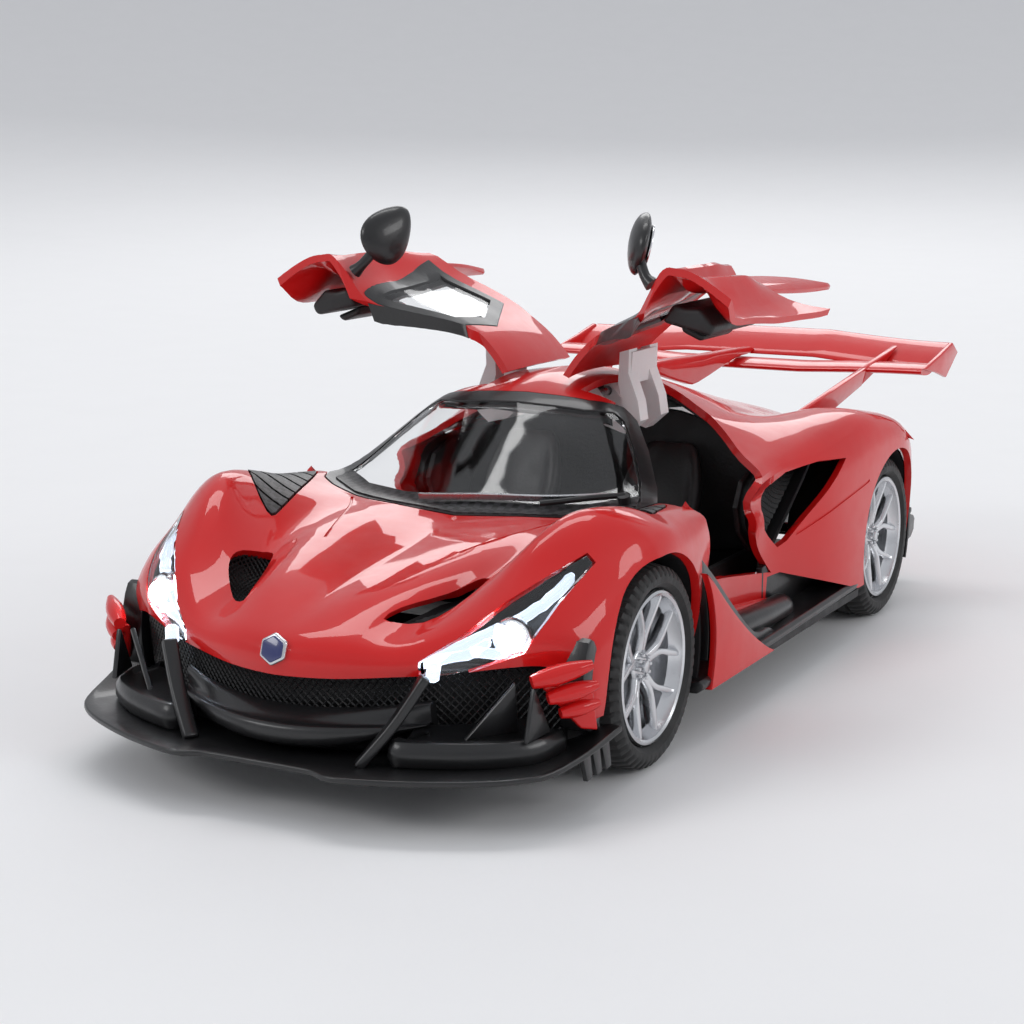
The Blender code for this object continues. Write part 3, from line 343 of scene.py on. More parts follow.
def badge_enamel():
    return plain_finish("badge_enamel", colours().enamel, 0.2, 600.0, 0.004 * MM, coat=1.0)


def carbon_cowl():
    """Black plastic moulded with a woven pattern of small squares."""
    made, nodes, links, shader = new_finish("carbon_patterned_cowl")
    place = nodes.new("ShaderNodeTexCoord")
    checks = nodes.new("ShaderNodeTexChecker")
    checks.inputs["Scale"].default_value = 900.0
    checks.inputs["Color1"].default_value = (0.006, 0.006, 0.007, 1)
    checks.inputs["Color2"].default_value = (0.035, 0.035, 0.038, 1)
    links.new(place.outputs["Object"], checks.inputs["Vector"])
    links.new(checks.outputs["Color"], shader.inputs["Base Color"])
    shader.inputs["Roughness"].default_value = 0.35
    bump(nodes, links, shader, checks.outputs["Fac"], 1.0, 0.05 * MM)
    return made


def clear_finish(name, tint, roughness, glow=0.0):
    """Clear moulded plastic with faint flow marks; a lit piece also gives off a little light."""
    made, nodes, links, shader = new_finish(name)
    shader.inputs["Transmission Weight"].default_value = 1.0
    shader.inputs["IOR"].default_value = 1.46
    shader.inputs["Emission Color"].default_value = (0.75, 0.85, 1.0, 1)
    shader.inputs["Emission Strength"].default_value = glow
    broad = spread(nodes, links, noise(nodes, links, 60.0), 0.0, 1.0)
    links.new(tinted(nodes, links, broad, tuple(c * 0.96 for c in tint), tint), shader.inputs["Base Color"])
    links.new(spread(nodes, links, noise(nodes, links, 140.0), roughness * 0.6, roughness * 1.4),
              shader.inputs["Roughness"])
    bump(nodes, links, shader, noise(nodes, links, 90.0, 2.0), 1.0, 0.01 * MM)
    return made


def clear_glazing():
    return clear_finish("clear_glazing", (0.97, 0.98, 0.98), 0.03)


def lamp_cover():
    return clear_finish("clear_lamp_cover", (0.95, 0.97, 1.0), 0.03)


def light_guide():
    return clear_finish("lit_light_guide", (0.85, 0.92, 1.0), 0.12, 0.6)


def red_lens():
    return plain_finish("red_lens", (0.5, 0.008, 0.008), 0.16, 500.0, 0.01 * MM, coat=1.0)


def hinge_white():
    made = plain_finish("milky_hinge_plastic", colours().hinge, 0.42, 900.0, 0.02 * MM, 0.06)
    shader = made.node_tree.nodes["Principled BSDF"]
    shader.inputs["Subsurface Weight"].default_value = 0.5
    shader.inputs["Subsurface Radius"].default_value = (0.002, 0.0015, 0.0015)
    return made


def lamp_light():
    """The lit lens of a headlamp: blue-white, brightest in the middle."""
    made, nodes, links, shader = new_finish("lamp_light")
    shader.inputs["Base Color"].default_value = (0.9, 0.95, 1, 1)
    shader.inputs["Roughness"].default_value = 0.2
    broad = spread(nodes, links, noise(nodes, links, 500.0), 0.0, 1.0)
    links.new(tinted(nodes, links, broad, (0.80, 0.90, 1.0), (1, 1, 1)), shader.inputs["Emission Color"])
    shader.inputs["Emission Strength"].default_value = sizes().lamp_glow
    return made


def stage_finish():
    return plain_finish("stage_paper", colours().stage, 0.85, 30.0, 0.02 * MM, 0.01, specular=0.2)


FINISHES = {}


def finish(make):
    """The material that a function makes, made once."""
    if make.__name__ not in FINISHES:
        FINISHES[make.__name__] = make()
    return FINISHES[make.__name__]


# ---- Modelling helpers --------------------------------------------------------------------------------


def only_none():
    """Leaves nothing selected."""
    if bpy.context.mode != "OBJECT":
        bpy.ops.object.mode_set(mode="OBJECT")
    bpy.ops.object.select_all(action="DESELECT")


def only(obj):
    """Makes one object the whole selection."""
    only_none()
    obj.select_set(True)
    bpy.context.view_layer.objects.active = obj
    return obj


def edit_all(obj):
    only(obj)
    bpy.ops.object.mode_set(mode="EDIT")
    bpy.ops.mesh.select_all(action="SELECT")


def outward(obj, merge=0.0):
    edit_all(obj)
    if merge:
        bpy.ops.mesh.remove_doubles(threshold=merge)
    bpy.ops.mesh.normals_make_consistent(inside=False)
    bpy.ops.object.mode_set(mode="OBJECT")
    return obj


def mesh_of(name, points, faces):
    mesh = bpy.data.meshes.new(name)
    mesh.from_pydata([tuple(p) for p in points], [], faces)
    mesh.update()
    made = bpy.data.objects.new(name, mesh)
    bpy.context.scene.collection.objects.link(made)
    return made


def shaped(obj, kind, **settings):
    """Adds a modifier and applies it."""
    step = obj.modifiers.new(kind.lower(), kind)
    for name, value in settings.items():
        setattr(step, name, value)
    only(obj)
    bpy.ops.object.modifier_apply(modifier=step.name)
    return obj


def rounded(obj, width=0.25, segments=2, angle=32.0):
    return shaped(obj, "BEVEL", width=width * MM, segments=segments, limit_method="ANGLE",
                  angle_limit=math.radians(angle), use_clamp_overlap=True)


def discard(*objects):
    for obj in objects:
        bpy.data.objects.remove(obj)


def boolean(obj, tool, operation, sheet=False):
    """Joins or cuts with a closed tool, which is used up; a sheet has no wall yet."""
    shaped(obj, "BOOLEAN", operation=operation, object=tool, solver="EXACT", use_hole_tolerant=sheet)
    discard(tool)
    return obj


def cut(obj, *tools, sheet=False):
    for tool in tools:
        boolean(obj, tool, "DIFFERENCE", sheet)
    return obj


def keep(obj, tool):
    """Keeps what lies inside the tool."""
    return boolean(obj, tool, "INTERSECT")


def joined(name, *objects):
    """Several objects made one, each still a closed shape of its own."""
    only(objects[0])
    for obj in objects[1:]:
        obj.select_set(True)
    bpy.ops.object.join()
    objects[0].name = name
    return objects[0]


def smooth_between(before, low, high, after, share):
    """A point of the smooth curve through four values, between the middle two."""
    square, cube = share * share, share ** 3
    return 0.5 * (2 * low + (high - before) * share + (2 * before - 5 * low + 4 * high - after) * square
                  + (3 * low - before - 3 * high + after) * cube)


def refined(points, steps):
    """The points with others between them on a smooth curve."""
    points = [Vector(p) for p in points]
    result = []
    last = len(points) - 1
    for i in range(last):
        four = [points[max(min(i + k, last), 0)] for k in (-1, 0, 1, 2)]
        result += [smooth_between(*four, step / steps) for step in range(steps)]
    return result + [points[last]]


def along(points, share):
    """The point at a share of a polyline's length."""
    lengths = [(b - a).length for a, b in zip(points, points[1:])]
    left = share * sum(lengths)
    for a, b, length in zip(points, points[1:], lengths):
        if left <= length:
            return a.lerp(b, left / length)
        left -= length
    return points[-1]


def loft(name, rings, closed=False):
    """A closed shape through rings of points, with flat ends or joined into a loop."""
    count = len(rings[0])
    points = [p for ring in rings for p in ring]
    faces = []
    for i in range(len(rings) if closed else len(rings) - 1):
        a, b = i * count, (i + 1) % len(rings) * count
        faces += [(a + k, a + (k + 1) % count, b + (k + 1) % count, b + k) for k in range(count)]
    if not closed:
        faces += [tuple(range(count))[::-1], tuple(range(len(points) - count, len(points)))]
    return outward(mesh_of(name, points, faces))


PLACES = {
    "X": lambda u, v, w: at(w, u, v),
    "Y": lambda u, v, w: at(u, w, v),
    "Z": lambda u, v, w: at(u, v, w),
}


def prism(name, outline, axis, low, high):
    """An outline extruded along X (y, z), Y (x, z) or Z (x, y), from low to high."""
    place = PLACES[axis]
    made = mesh_of(name, [place(u, v, low) for u, v in outline], [tuple(range(len(outline)))])
    edit_all(made)
    reach = place(0, 0, high) - place(0, 0, low)
    bpy.ops.mesh.extrude_region_move(TRANSFORM_OT_translate={"value": reach})
    bpy.ops.mesh.select_all(action="SELECT")
    bpy.ops.mesh.normals_make_consistent(inside=False)
    bpy.ops.object.mode_set(mode="OBJECT")
    return made


def side_prism(name, outline, side, low, high):
    """A side view's outline between two distances from the middle, on one side of the car."""
    near, far = sorted((side * low, side * high))
    return prism(name, outline, "X", near, far)


def flat_of(outline, side):
    return [(side * x, y) for x, y in outline]


def grown(outline, distance):
    """The outline with every edge moved outwards by a distance; a negative distance shrinks it."""
    count = len(outline)
    area = sum(outline[i][0] * outline[(i + 1) % count][1] - outline[(i + 1) % count][0] * outline[i][1]
               for i in range(count))
    turn = 1.0 if area > 0 else -1.0
    moved = []
    for i in range(count):
        before, here, after = (Vector(outline[(i + k) % count]) for k in (-1, 0, 1))
        normals = [Vector((e.y, -e.x)).normalized() * turn for e in (here - before, after - here)]
        between = (normals[0] + normals[1]).normalized()
        moved.append(tuple(here + between * distance / max(between.dot(normals[0]), 0.5)))
    return moved


def curved(outline, steps=4):
    """A closed outline with its corners turned into smooth curves."""
    count = len(outline)
    points = [Vector(p) for p in outline]
    result = []
    for i in range(count):
        four = [points[(i + k) % count] for k in (-1, 0, 1, 2)]
        result += [tuple(smooth_between(*four, step / steps)) for step in range(steps)]
    return result


def circle(centre, across, up, radius, steps):
    """A ring of points about a centre, in the plane of two unit directions."""
    turns = [2 * math.pi * step / steps for step in range(steps)]
    return [centre + (across * math.cos(a) + up * math.sin(a)) * radius for a in turns]


def tube(name, points, radii, steps=12):
    """A round bar through world points, its radius in mm at each."""
    if not isinstance(radii, (list, tuple)):
        radii = [radii] * len(points)
    rings = []
    last = len(points) - 1
    across = None
    for i, point in enumerate(points):
        forward = (points[min(i + 1, last)] - points[max(i - 1, 0)]).normalized()
        if across is None:
            across = forward.orthogonal().normalized()
        across = (across - forward * across.dot(forward)).normalized()
        rings.append(circle(point, across, forward.cross(across), radii[i] * MM, steps))
    return loft(name, rings)


def bar(name, points, width, depth, facing):
    """A flat bar through world points, its width and depth in mm, its broad face turned to a direction."""
    rings = []
    last = len(points) - 1
    facing = Vector(facing).normalized()
    for i, point in enumerate(points):
        forward = (points[min(i + 1, last)] - points[max(i - 1, 0)]).normalized()
        across = forward.cross(facing).normalized() * width / 2 * MM
        deep = across.normalized().cross(forward) * depth / 2 * MM
        rings.append([point + across + deep, point - across + deep, point - across - deep,
                      point + across - deep])
    return loft(name, rings)


def rod(name, centre, direction, radius, length, sides=32):
    """A cylinder of a radius and length in mm about a world point."""
    only_none()
    turn = Vector(direction).to_track_quat("Z", "Y").to_euler()
    bpy.ops.mesh.primitive_cylinder_add(vertices=sides, radius=radius * MM, depth=length * MM,
                                        location=centre, rotation=turn)
    return settled(name)


def settled(name):
    """Names the object just made and puts its place into its mesh."""
    made = bpy.context.active_object
    made.name = name
    bpy.ops.object.transform_apply(location=True, rotation=True, scale=True)
    return made


def lattice(name, place, across, along_steps):
    """A mesh of crossed wires: place(u, v) gives the world point, for u and v from 0 to 1."""
    across, along_steps = across * 2, along_steps * 2
    spots = [(i, j) for i in range(across + 1) for j in range(along_steps + 1)]
    points = {spot: k for k, spot in enumerate(spot for spot in spots if sum(spot) % 2 == 0)}
    faces = []
    for i, j in spots:
        if (i + j) % 2:
            loop = [points[k] for k in ((i - 1, j), (i, j - 1), (i + 1, j), (i, j + 1)) if k in points]
            if len(loop) >= 3:
                faces.append(tuple(loop))
    made = mesh_of(name, [place(i / across, j / along_steps) for i, j in points], faces)
    shaped(made, "WIREFRAME", thickness=sizes().mesh_wire, use_even_offset=False, use_boundary=True,
           use_replace=True)
    return outward(made)


def between(first, second):
    """A place(u, v) that goes from one edge to another, both lists of world points."""

    def place(u, v):
        return along(first, u).lerp(along(second, u), v)

    return place


def dressed(obj, body, slot, make, *nodes, smooth=32.0):
    """Shades a finished piece, gives it its finish and hangs it on its body in place of its CAD nodes."""
    only(obj)
    bpy.ops.object.shade_smooth_by_angle(angle=math.radians(smooth))
    obj.data.materials.clear()
    obj.data.materials.append(finish(make))
    if nodes:
        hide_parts(*nodes)
    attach(obj, body)
    return obj


def as_trim(obj, *nodes, smooth=32.0):
    """Finishes a piece of the car in the black plastic of its trim."""
    return dressed(obj, "car", "black_plastic", black_trim, *nodes, smooth=smooth)


def as_paint(obj, *nodes, smooth=32.0):
    """Finishes a piece of the car in the body's paint."""
    return dressed(obj, "car", "red_paint", red_paint, *nodes, smooth=smooth)


def as_cabin(obj, *nodes, smooth=32.0):
    """Finishes a piece of the car in the black of the cabin."""
    return dressed(obj, "car", "interior_black", cabin_black, *nodes, smooth=smooth)


def repaint(node, make):
    """Gives a CAD node that stays a better finish."""
    obj = frame["nodes"][node]
    for place in obj.material_slots:
        place.material = finish(make)
    if not obj.material_slots:
        obj.data.materials.append(finish(make))


# ---- The body's surface -------------------------------------------------------------------------------

ALONG_STEPS = 4
ACROSS_STEPS = 4


def body_rows():
    """The left half of the body's surface, as rows of world points from nose to tail."""
    rows = []
    for y, sweep, *section in STATIONS:
        curve = refined(section, ACROSS_STEPS)
        rows.append([at(p.x, y + sweep * (max(p.x, 0) / SWEEP_AT_X) ** SWEEP_POWER, p.y) for p in curve])
    lines = [refined(line, ALONG_STEPS) for line in zip(*rows)]
    return [list(row) for row in zip(*lines)]


ROWS = body_rows()


def surface_object(name, side=0):
    """The body's surface without a wall: both halves, or the left (1) or right (-1) one alone."""
    if side == 0:
        rows = [[p * Vector((-1, 1, 1)) for p in row[:0:-1]] + row for row in ROWS]
    else:
        rows = [[p * Vector((side, 1, 1)) for p in row] for row in ROWS]
    width = len(rows[0])
    points = [p for row in rows for p in row]
    faces = []
    for i in range(len(rows) - 1):
        for k in range(width - 1):
            a = i * width + k
            loop = (a, a + 1, a + 1 + width, a + width)
            faces.append(loop if side >= 0 else loop[::-1])
    return mesh_of(name, points, faces)


def walled(sheet, wall, sink=0.0, even=True):
    """Moves an open sheet under the body's surface and gives it a wall inside, both in mm."""
    if sink:
        edit_all(sheet)
        bpy.ops.transform.shrink_fatten(value=-sink * MM)
        bpy.ops.object.mode_set(mode="OBJECT")
    return shaped(sheet, "SOLIDIFY", thickness=wall * MM, offset=-1.0, use_even_offset=even)


def skin(name, wall, side=0, sink=0.0):
    """The body's surface with a wall inside it, sunk a distance in mm under the outer face."""
    return walled(surface_object(name, side), wall, sink)


def trimmed(obj, wanted):
    """Deletes the faces whose middle isn't wanted."""
    form = bmesh.new()
    form.from_mesh(obj.data)
    unwanted = [face for face in form.faces if not wanted(face.calc_center_median())]
    bmesh.ops.delete(form, geom=unwanted, context="FACES")
    form.to_mesh(obj.data)
    form.free()
    return obj


def surface_tree():
    made = surface_object("surface_to_measure")
    tree = BVHTree.FromPolygons([v.co.copy() for v in made.data.vertices],
                                [tuple(p.vertices) for p in made.data.polygons])
    discard(made)
    return tree


TREE = surface_tree()
# The cut sheet's own faces, and the walls of its grooves, lie this near the surface.
SURFACE_REACH = 0.35 * MM


def on_top(x, y, lift=0.0):
    """The world point a lift in mm over the body at a plan point."""
    hit = TREE.ray_cast(at(x, y, 2 * BASE_HEIGHT), Vector((0, 0, -1)))[0]
    return hit + Vector((0, 0, lift * MM))


def nearest(point, lift=0.0):
    """The body's point nearest a world point, lifted along its normal by mm."""
    hit, normal = TREE.find_nearest(point)[:2]
    return hit + normal * lift * MM


def arch_outline(axle, reach, radius):
    """The side view of a wheel arch, in world metres: two half circles, the front one moved forward."""
    points = []
    for step in range(64):
        angle = math.pi * 2 * step / 64
        forward = reach if math.cos(angle) > 0.01 else 0.0
        points.append((axle.y - forward - radius * math.cos(angle), WHEEL_Z + radius * math.sin(angle)))
    return points


ARCH_REACH = 1.5 * MM


def arch_tools():
    tools = []
    for axle, reach in ((FRONT_AXLE, ARCH_REACH), (REAR_AXLE, 0.0)):
        for side, label in SIDES:
            ends = [[Vector((side * x, y, z)) for y, z in arch_outline(axle, reach, ARCH_RADIUS)]
                    for x in (ARCH_INNER_X, FAR * MM)]
            tools.append(loft(f"arch_{label}", ends))
    return tools


def panel_groove(name, points):
    """A tool that follows the body and leaves a fine groove."""
    route = [nearest(p) for p in refined(points, 6)]
    return tube(name, route, sizes().groove / MM, 6)


def groove_tools(side):
    """The panel lines on the haunch, the flank and the nose."""
    lines = [
        [(41, 64.8, 34.1), (41, 57.9, 37.8), (40, 49, 41)],
        [(43, 40.1, 30.4), (43, 26.6, 28.1), (43, 12, 24.4)],
        [(12.4, -66, 33.8), (18, -50, 35.4), (21, -44, 36)],
    ]
    return [panel_groove("groove", [at(side * x, y, z) for x, y, z in line]) for line in lines]


LINER_GAP, LINER_WALL = 0.1 * MM, 0.8 * MM


class CAR_OT_body(bpy.types.Operator):
    """Build the painted body with its openings and panel lines"""

    bl_idname = "car.body"
    bl_label = "Body"

    def execute(self, context):
        body = surface_object("body_panels")
        cut(body, *arch_tools(), sheet=True)
        for side, label in SIDES:
            cut(body,
                side_prism("door_hole", grown(DOOR_SIDE, DOOR_GAP), side, DOOR_INNER_X - ROOF_GAP, FAR),
                side_prism("pillar_hole", PILLAR_SIDE, side, *PILLAR_X),
                prism("lamp_hole", flat_of(grown(HEADLIGHT_FRONT, GAP), side), "Y", -FAR * 2, LAMP_BACK_Y),
                prism("vent_hole", flat_of(curved(HOOD_VENT_PLAN, 5), side), "Z", VENT_LOW_Z, FAR),
                prism("louvre_hole", flat_of(curved(LOUVRE_PLAN), side), "Z", PLAN_CUT_Z, FAR),
                side_prism("intake_hole", INTAKE_SIDE, side, INTAKE_DEPTH_X, FAR),
                side_prism("sill_hole", LOWER_CUT_SIDE, side, SILL_CUT_X, FAR),
                *groove_tools(side), sheet=True)
        cut(body, prism("screen_hole", curved(grown(SCREEN_PLAN, GAP), 3), "Z", PLAN_CUT_Z, FAR), sheet=True)
        trimmed(body, lambda point: TREE.find_nearest(point)[3] < SURFACE_REACH)
        walled(body, BODY_WALL, even=False)
        as_paint(body, "body_shell", smooth=28)
        shaped(body, "WEIGHTED_NORMAL", keep_sharp=True, weight=90)
        for side, label in SIDES:
            self.wheel_liners(side, label)
            self.haunch_panel(side, label)
        # A black skin of painted shade inside the roof and the tail
        self.roof_shade_sheet()
        return {"FINISHED"}

    def roof_shade_sheet(self):
        """A black skin inside the roof and the tail: painted shade that darkens the roof's underside where
        its own shadow falls on the cabin.
        """
        sheet = trimmed(surface_object("roof_painted_shade"), self.under_roof)
        walled(sheet, SHADE_SHEET_WALL, BODY_WALL + SHADE_SHEET_GAP, even=False)
        as_cabin(sheet, smooth=50)

    def under_roof(self, point):
        """Whether a point of the surface is over the cabin, between the doors or behind them."""
        front, door_end, back = (at(0, y, 0).y for y in (-15, 11, 62))
        side = at(DOOR_INNER_X - 3 if point.y < door_end else 28, 0, 0).x
        return front < point.y < back and abs(point.x) < side and point.z > at(0, 0, 34.5).z

    def wheel_liners(self, side, label):
        """Black walls inside each arch, above the floor."""
        for place, axle, reach in (("front", FRONT_AXLE, ARCH_REACH), ("rear", REAR_AXLE, 0.0)):
            rings = []
            inner, outer = ARCH_RADIUS + LINER_GAP, ARCH_RADIUS + LINER_GAP + LINER_WALL
            deep, edge = ARCH_INNER_X - 0.2 * MM, 41.2 * MM * WIDE
            section = [(edge, inner), (edge, outer), (deep - LINER_WALL, outer), (deep - LINER_WALL, 3 * MM),
                       (deep, 3 * MM), (deep, inner)]
            for step in range(33):
                angle = math.radians(-24 + 228 * step / 32)
                forward = reach if math.cos(angle) > 0 else 0.0
                rings.append([Vector((side * x, axle.y - forward - r * math.cos(angle),
                                      WHEEL_Z + r * math.sin(angle))) for x, r in section])
            liner = loft(f"{label}_{place}_wheel_liner", rings)
            dressed(liner, "car", "floor_black", black_floor)

    def haunch_panel(self, side, label):
        """The black wall under the body, ahead of the rear wheel."""
        outline = [(3, 9.6), (3, 19.6), (8, 20.6), (24, 20), (34, 18), (37.4, 12), (38.4, 9.6)]
        wall = rounded(side_prism(f"{label}_under_wall", outline, side, 35.0, 36.2))
        as_trim(wall)


class CAR_OT_screen(bpy.types.Operator):
    """Build the windscreen, its black border, the cowl and the wiper"""

    bl_idname = "car.screen"
    bl_label = "Windscreen"

    def execute(self, context):
        outline = curved(SCREEN_PLAN, 3)
        inner = curved(grown(SCREEN_PLAN, -SCREEN_BORDER), 3)
        pane = curved(grown(SCREEN_PLAN, -SCREEN_BORDER - GAP), 3)
        border = keep(skin("screen_border", BODY_WALL, sink=-0.1),
                      prism("border_outside", outline, "Z", PLAN_CUT_Z, FAR))
        cut(border, prism("border_inside", inner, "Z", 29, FAR + 1))
        as_trim(border, "windscreen_frame")
        glass = keep(skin("screen_pane", 0.8), prism("pane_outside", pane, "Z", PLAN_CUT_Z, FAR))
        dressed(glass, "car", "clear_plastic", clear_glazing, "windscreen", smooth=60)
        lower = [(-29, -36.6), (-22, -41.4), (-13, -44.0), (0, -45.2), (13, -44.0), (22, -41.4), (29, -36.6)]
        upper = [(x * 0.97, y + 3.6) for x, y in lower]
        strip = keep(skin("screen_cowl", 0.7, sink=-0.35),
                     prism("cowl_outline", lower + upper[::-1], "Z", 28, FAR))
        dressed(strip, "car", "black_plastic", carbon_cowl)
        arm = tube("wiper_arm", [on_top(x, y, 1.6) for x, y in refined([(14.1, -42), (20, -38.8),
                                                                        (26.6, -35.6)], 5)], 0.5, 8)
        pivot = rod("wiper_pivot", on_top(26.6, -35.8, 1.0), (0, -0.4, 1), 1.1, 1.6, 16)
        as_trim(joined("wiper_arm", arm, pivot))
        route = refined([(-8, -43.4), (3, -42.2), (14.1, -40.2), (24, -36.6)], 6)
        blade = bar("wiper_blade", [on_top(x, y, 1.5) for x, y in route], 0.6, 1.0, (0, -0.3, 1))
        dressed(blade, "car", "steel", bright_steel, "wiper")
        return {"FINISHED"}


LIP_HALF_WIDTH = 21.6
MESH_HALF_WIDTH = 36.8


def nose_edge(x, back=0.0):
    """The y of the hood's lower edge over the mesh, moved back by mm."""
    return -99 + 19 * (abs(x) / SWEEP_AT_X) ** SWEEP_POWER + back


class CAR_OT_nose(bpy.types.Operator):
    """Build the splitter, the lip, the pods with their fins, the struts, the mesh and the plain badge"""

    bl_idname = "car.nose"
    bl_label = "Nose"

    def execute(self, context):
        self.splitter()
        self.lip()
        self.mesh()
        for side, label in SIDES:
            self.pod(side, label)
            self.strut(side, label)
            self.flank_ribs(side, label)
        self.badge()
        return {"FINISHED"}

    def splitter(self):
        """The thin plate under the nose, with its stepped front edge and its ends turned up."""
        front = [(0, -104.4, 8.3), (6, -104.4, 8.3), (9.8, -104.7, 8.3), (14, -106.0, 8.3),
                 (24, -103.2, 8.4), (33, -99.0, 8.5), (38.4, -95.4, 8.7), (41.4, -91.4, 9.0),
                 (43.4, -84, 10.2), (45, -75.6, 12.2)]
        rear = [(0, -86, 8.2), (8, -86, 8.2), (13, -86, 8.2), (18, -85, 8.3), (24, -83, 8.4),
                (30, -80, 8.6), (34, -78, 8.8), (36.6, -77, 9.2), (39.4, -76, 10.4), (42.4, -75, 12.2)]
        edges = [refined([at(*p) for p in edge], 3) for edge in (front, rear)]
        edges = [[p * Vector((-1, 1, 1)) for p in edge[:0:-1]] + edge for edge in edges]
        rows = [[a.lerp(b, step / 8) for a, b in zip(*edges)] for step in range(9)]
        width = len(rows[0])
        faces = [(i * width + k, i * width + k + 1, (i + 1) * width + k + 1, (i + 1) * width + k)
                 for i in range(8) for k in range(width - 1)]
        plate = outward(mesh_of("splitter_plate", [p for row in rows for p in row], faces))
        shaped(plate, "SOLIDIFY", thickness=0.9 * MM, offset=0.0)
        outward(plate)
        rounded(plate, 0.3, 3, 50)
        as_trim(plate, "splitter")
        for side, label in SIDES:
            vanes = []
            for step in range(3):
                y = -83 + 3.2 * step
                outline = [(y, 9.4), (y + 2.4, 9.6), (y + 3.4, 5.4), (y + 1.6, 5.2)]
                vanes.append(rounded(side_prism("vane", outline, side, 41.4, 42.2), 0.15))
            as_trim(joined(f"{label}_splitter_vanes", *vanes))

    def lip(self):
        """The rolled crescent under the mesh."""
        rings = []
        for step in range(41):
            x = -LIP_HALF_WIDTH + 2 * LIP_HALF_WIDTH * step / 40
            share = abs(x) / LIP_HALF_WIDTH
            upper_y, upper_z = -97.6 + 6.4 * share ** 2, 14.8 + 1.6 * share ** 2
            crest_y, crest_z = -101.1 + 8.6 * share ** 2.0, 12.0 + 1.8 * share ** 2.4
            fade = max(1 - share ** 3, 0.12)
            section = [(upper_y + 1.6, upper_z), (upper_y, upper_z), (crest_y + 1.6, crest_z + 1.7 * fade),
                       (crest_y + 0.35, crest_z + 1.25 * fade), (crest_y, crest_z),
                       (crest_y + 0.5, crest_z - 1.4 * fade), (crest_y + 2.2, crest_z - 2.3 * fade),
                       (upper_y + 1.6, 9.0), (upper_y + 3.2, 9.0)]
            rings.append([at(x, y, z) for y, z in curved(section, 3)])
        as_trim(loft("nose_lip", rings), "front_bumper", smooth=50)

    def mesh(self):
        """The black mesh behind the nose, with a dark sheet behind it."""
        lines = [[at(-MESH_HALF_WIDTH + 2 * MESH_HALF_WIDTH * i / 60,
                     nose_edge(-MESH_HALF_WIDTH + 2 * MESH_HALF_WIDTH * i / 60, back),
                     z) for i in range(61)] for back, z in ((1.8, 21.6), (3.4, 9.6))]
        made = lattice("nose_mesh", between(*lines), round(84 * MM / sizes().mesh_pitch), 9)
        dressed(made, "car", "black_mesh", black_mesh, "grille")
        sheet = []
        for i in range(31):
            x = -MESH_HALF_WIDTH + 2 * MESH_HALF_WIDTH * i / 30
            sheet.append([at(x, nose_edge(x, back), z) for back, z in
                          ((2.8, 22), (4.4, 9.4), (5.4, 9.4), (3.8, 22))])
        dressed(loft("nose_backing", sheet), "car", "black_plastic", black_floor)

    def pod(self, side, label):
        """The raised tray beside the crescent, with a rounded edge and two upright fins."""
        path = refined([(18.6, -97.6), (21, -98.4), (29.5, -94.9), (35, -91), (37.8, -87.2), (38.6, -82)], 5)
        rings = []
        for i, point in enumerate(path):
            ahead = path[min(i + 1, len(path) - 1)] - path[max(i - 1, 0)]
            out = Vector((ahead.y, -ahead.x)).normalized()
            share = i / (len(path) - 1)
            depth = 5.2 + 2.4 * math.sin(math.pi * share)
            section = [(0, 9.0), (0.5, 10.2), (0.45, 11.6), (-0.3, 12.7), (-1.2, 12.9), (-2.4, 12.5),
                       (-depth, 13.2 + 1.0 * share), (-depth, 9.0)]
            ring = []
            for reach, z in section:
                spot = point + out * reach
                ring.append(at(side * spot.x, spot.y, z))
            rings.append(ring)
        tray = loft(f"{label}_nose_pod", rings)
        shaped(tray, "BEVEL", width=0.3 * MM, segments=2, limit_method="ANGLE", angle_limit=math.radians(40))
        as_trim(tray, smooth=50)
        fins = [[(27.6, -92.6, 12.2), (34.0, -88.6, 20.9), (33.4, -86.4, 13.0)],
                [(36.6, -90.4, 12.6), (36.8, -88.4, 20.4), (37.6, -84.8, 13.2)]]
        plates = []
        for corners in fins:
            ring = [at(side * x, y, z) for x, y, z in corners]
            normal = (ring[1] - ring[0]).cross(ring[2] - ring[0]).normalized() * 0.45 * MM
            plates.append(rounded(loft("fin", [[p - normal for p in ring], [p + normal for p in ring]]),
                                  0.25))
        as_trim(joined(f"{label}_nose_fins", *plates))

    def strut(self, side, label):
        """The blade from the lamp's tooth down to the splitter."""
        route = [at(side * x, y, z) for x, y, z in refined([(22.6, -94.2, 21.6), (18.8, -97.2, 14.6),
                                                         (14.6, -100.0, 8.7)], 5)]
        blade = bar(f"{label}_nose_strut", route, 1.5, 2.4, (side * 0.9, -0.55, 0.55))
        as_trim(rounded(blade, 0.4, 3))

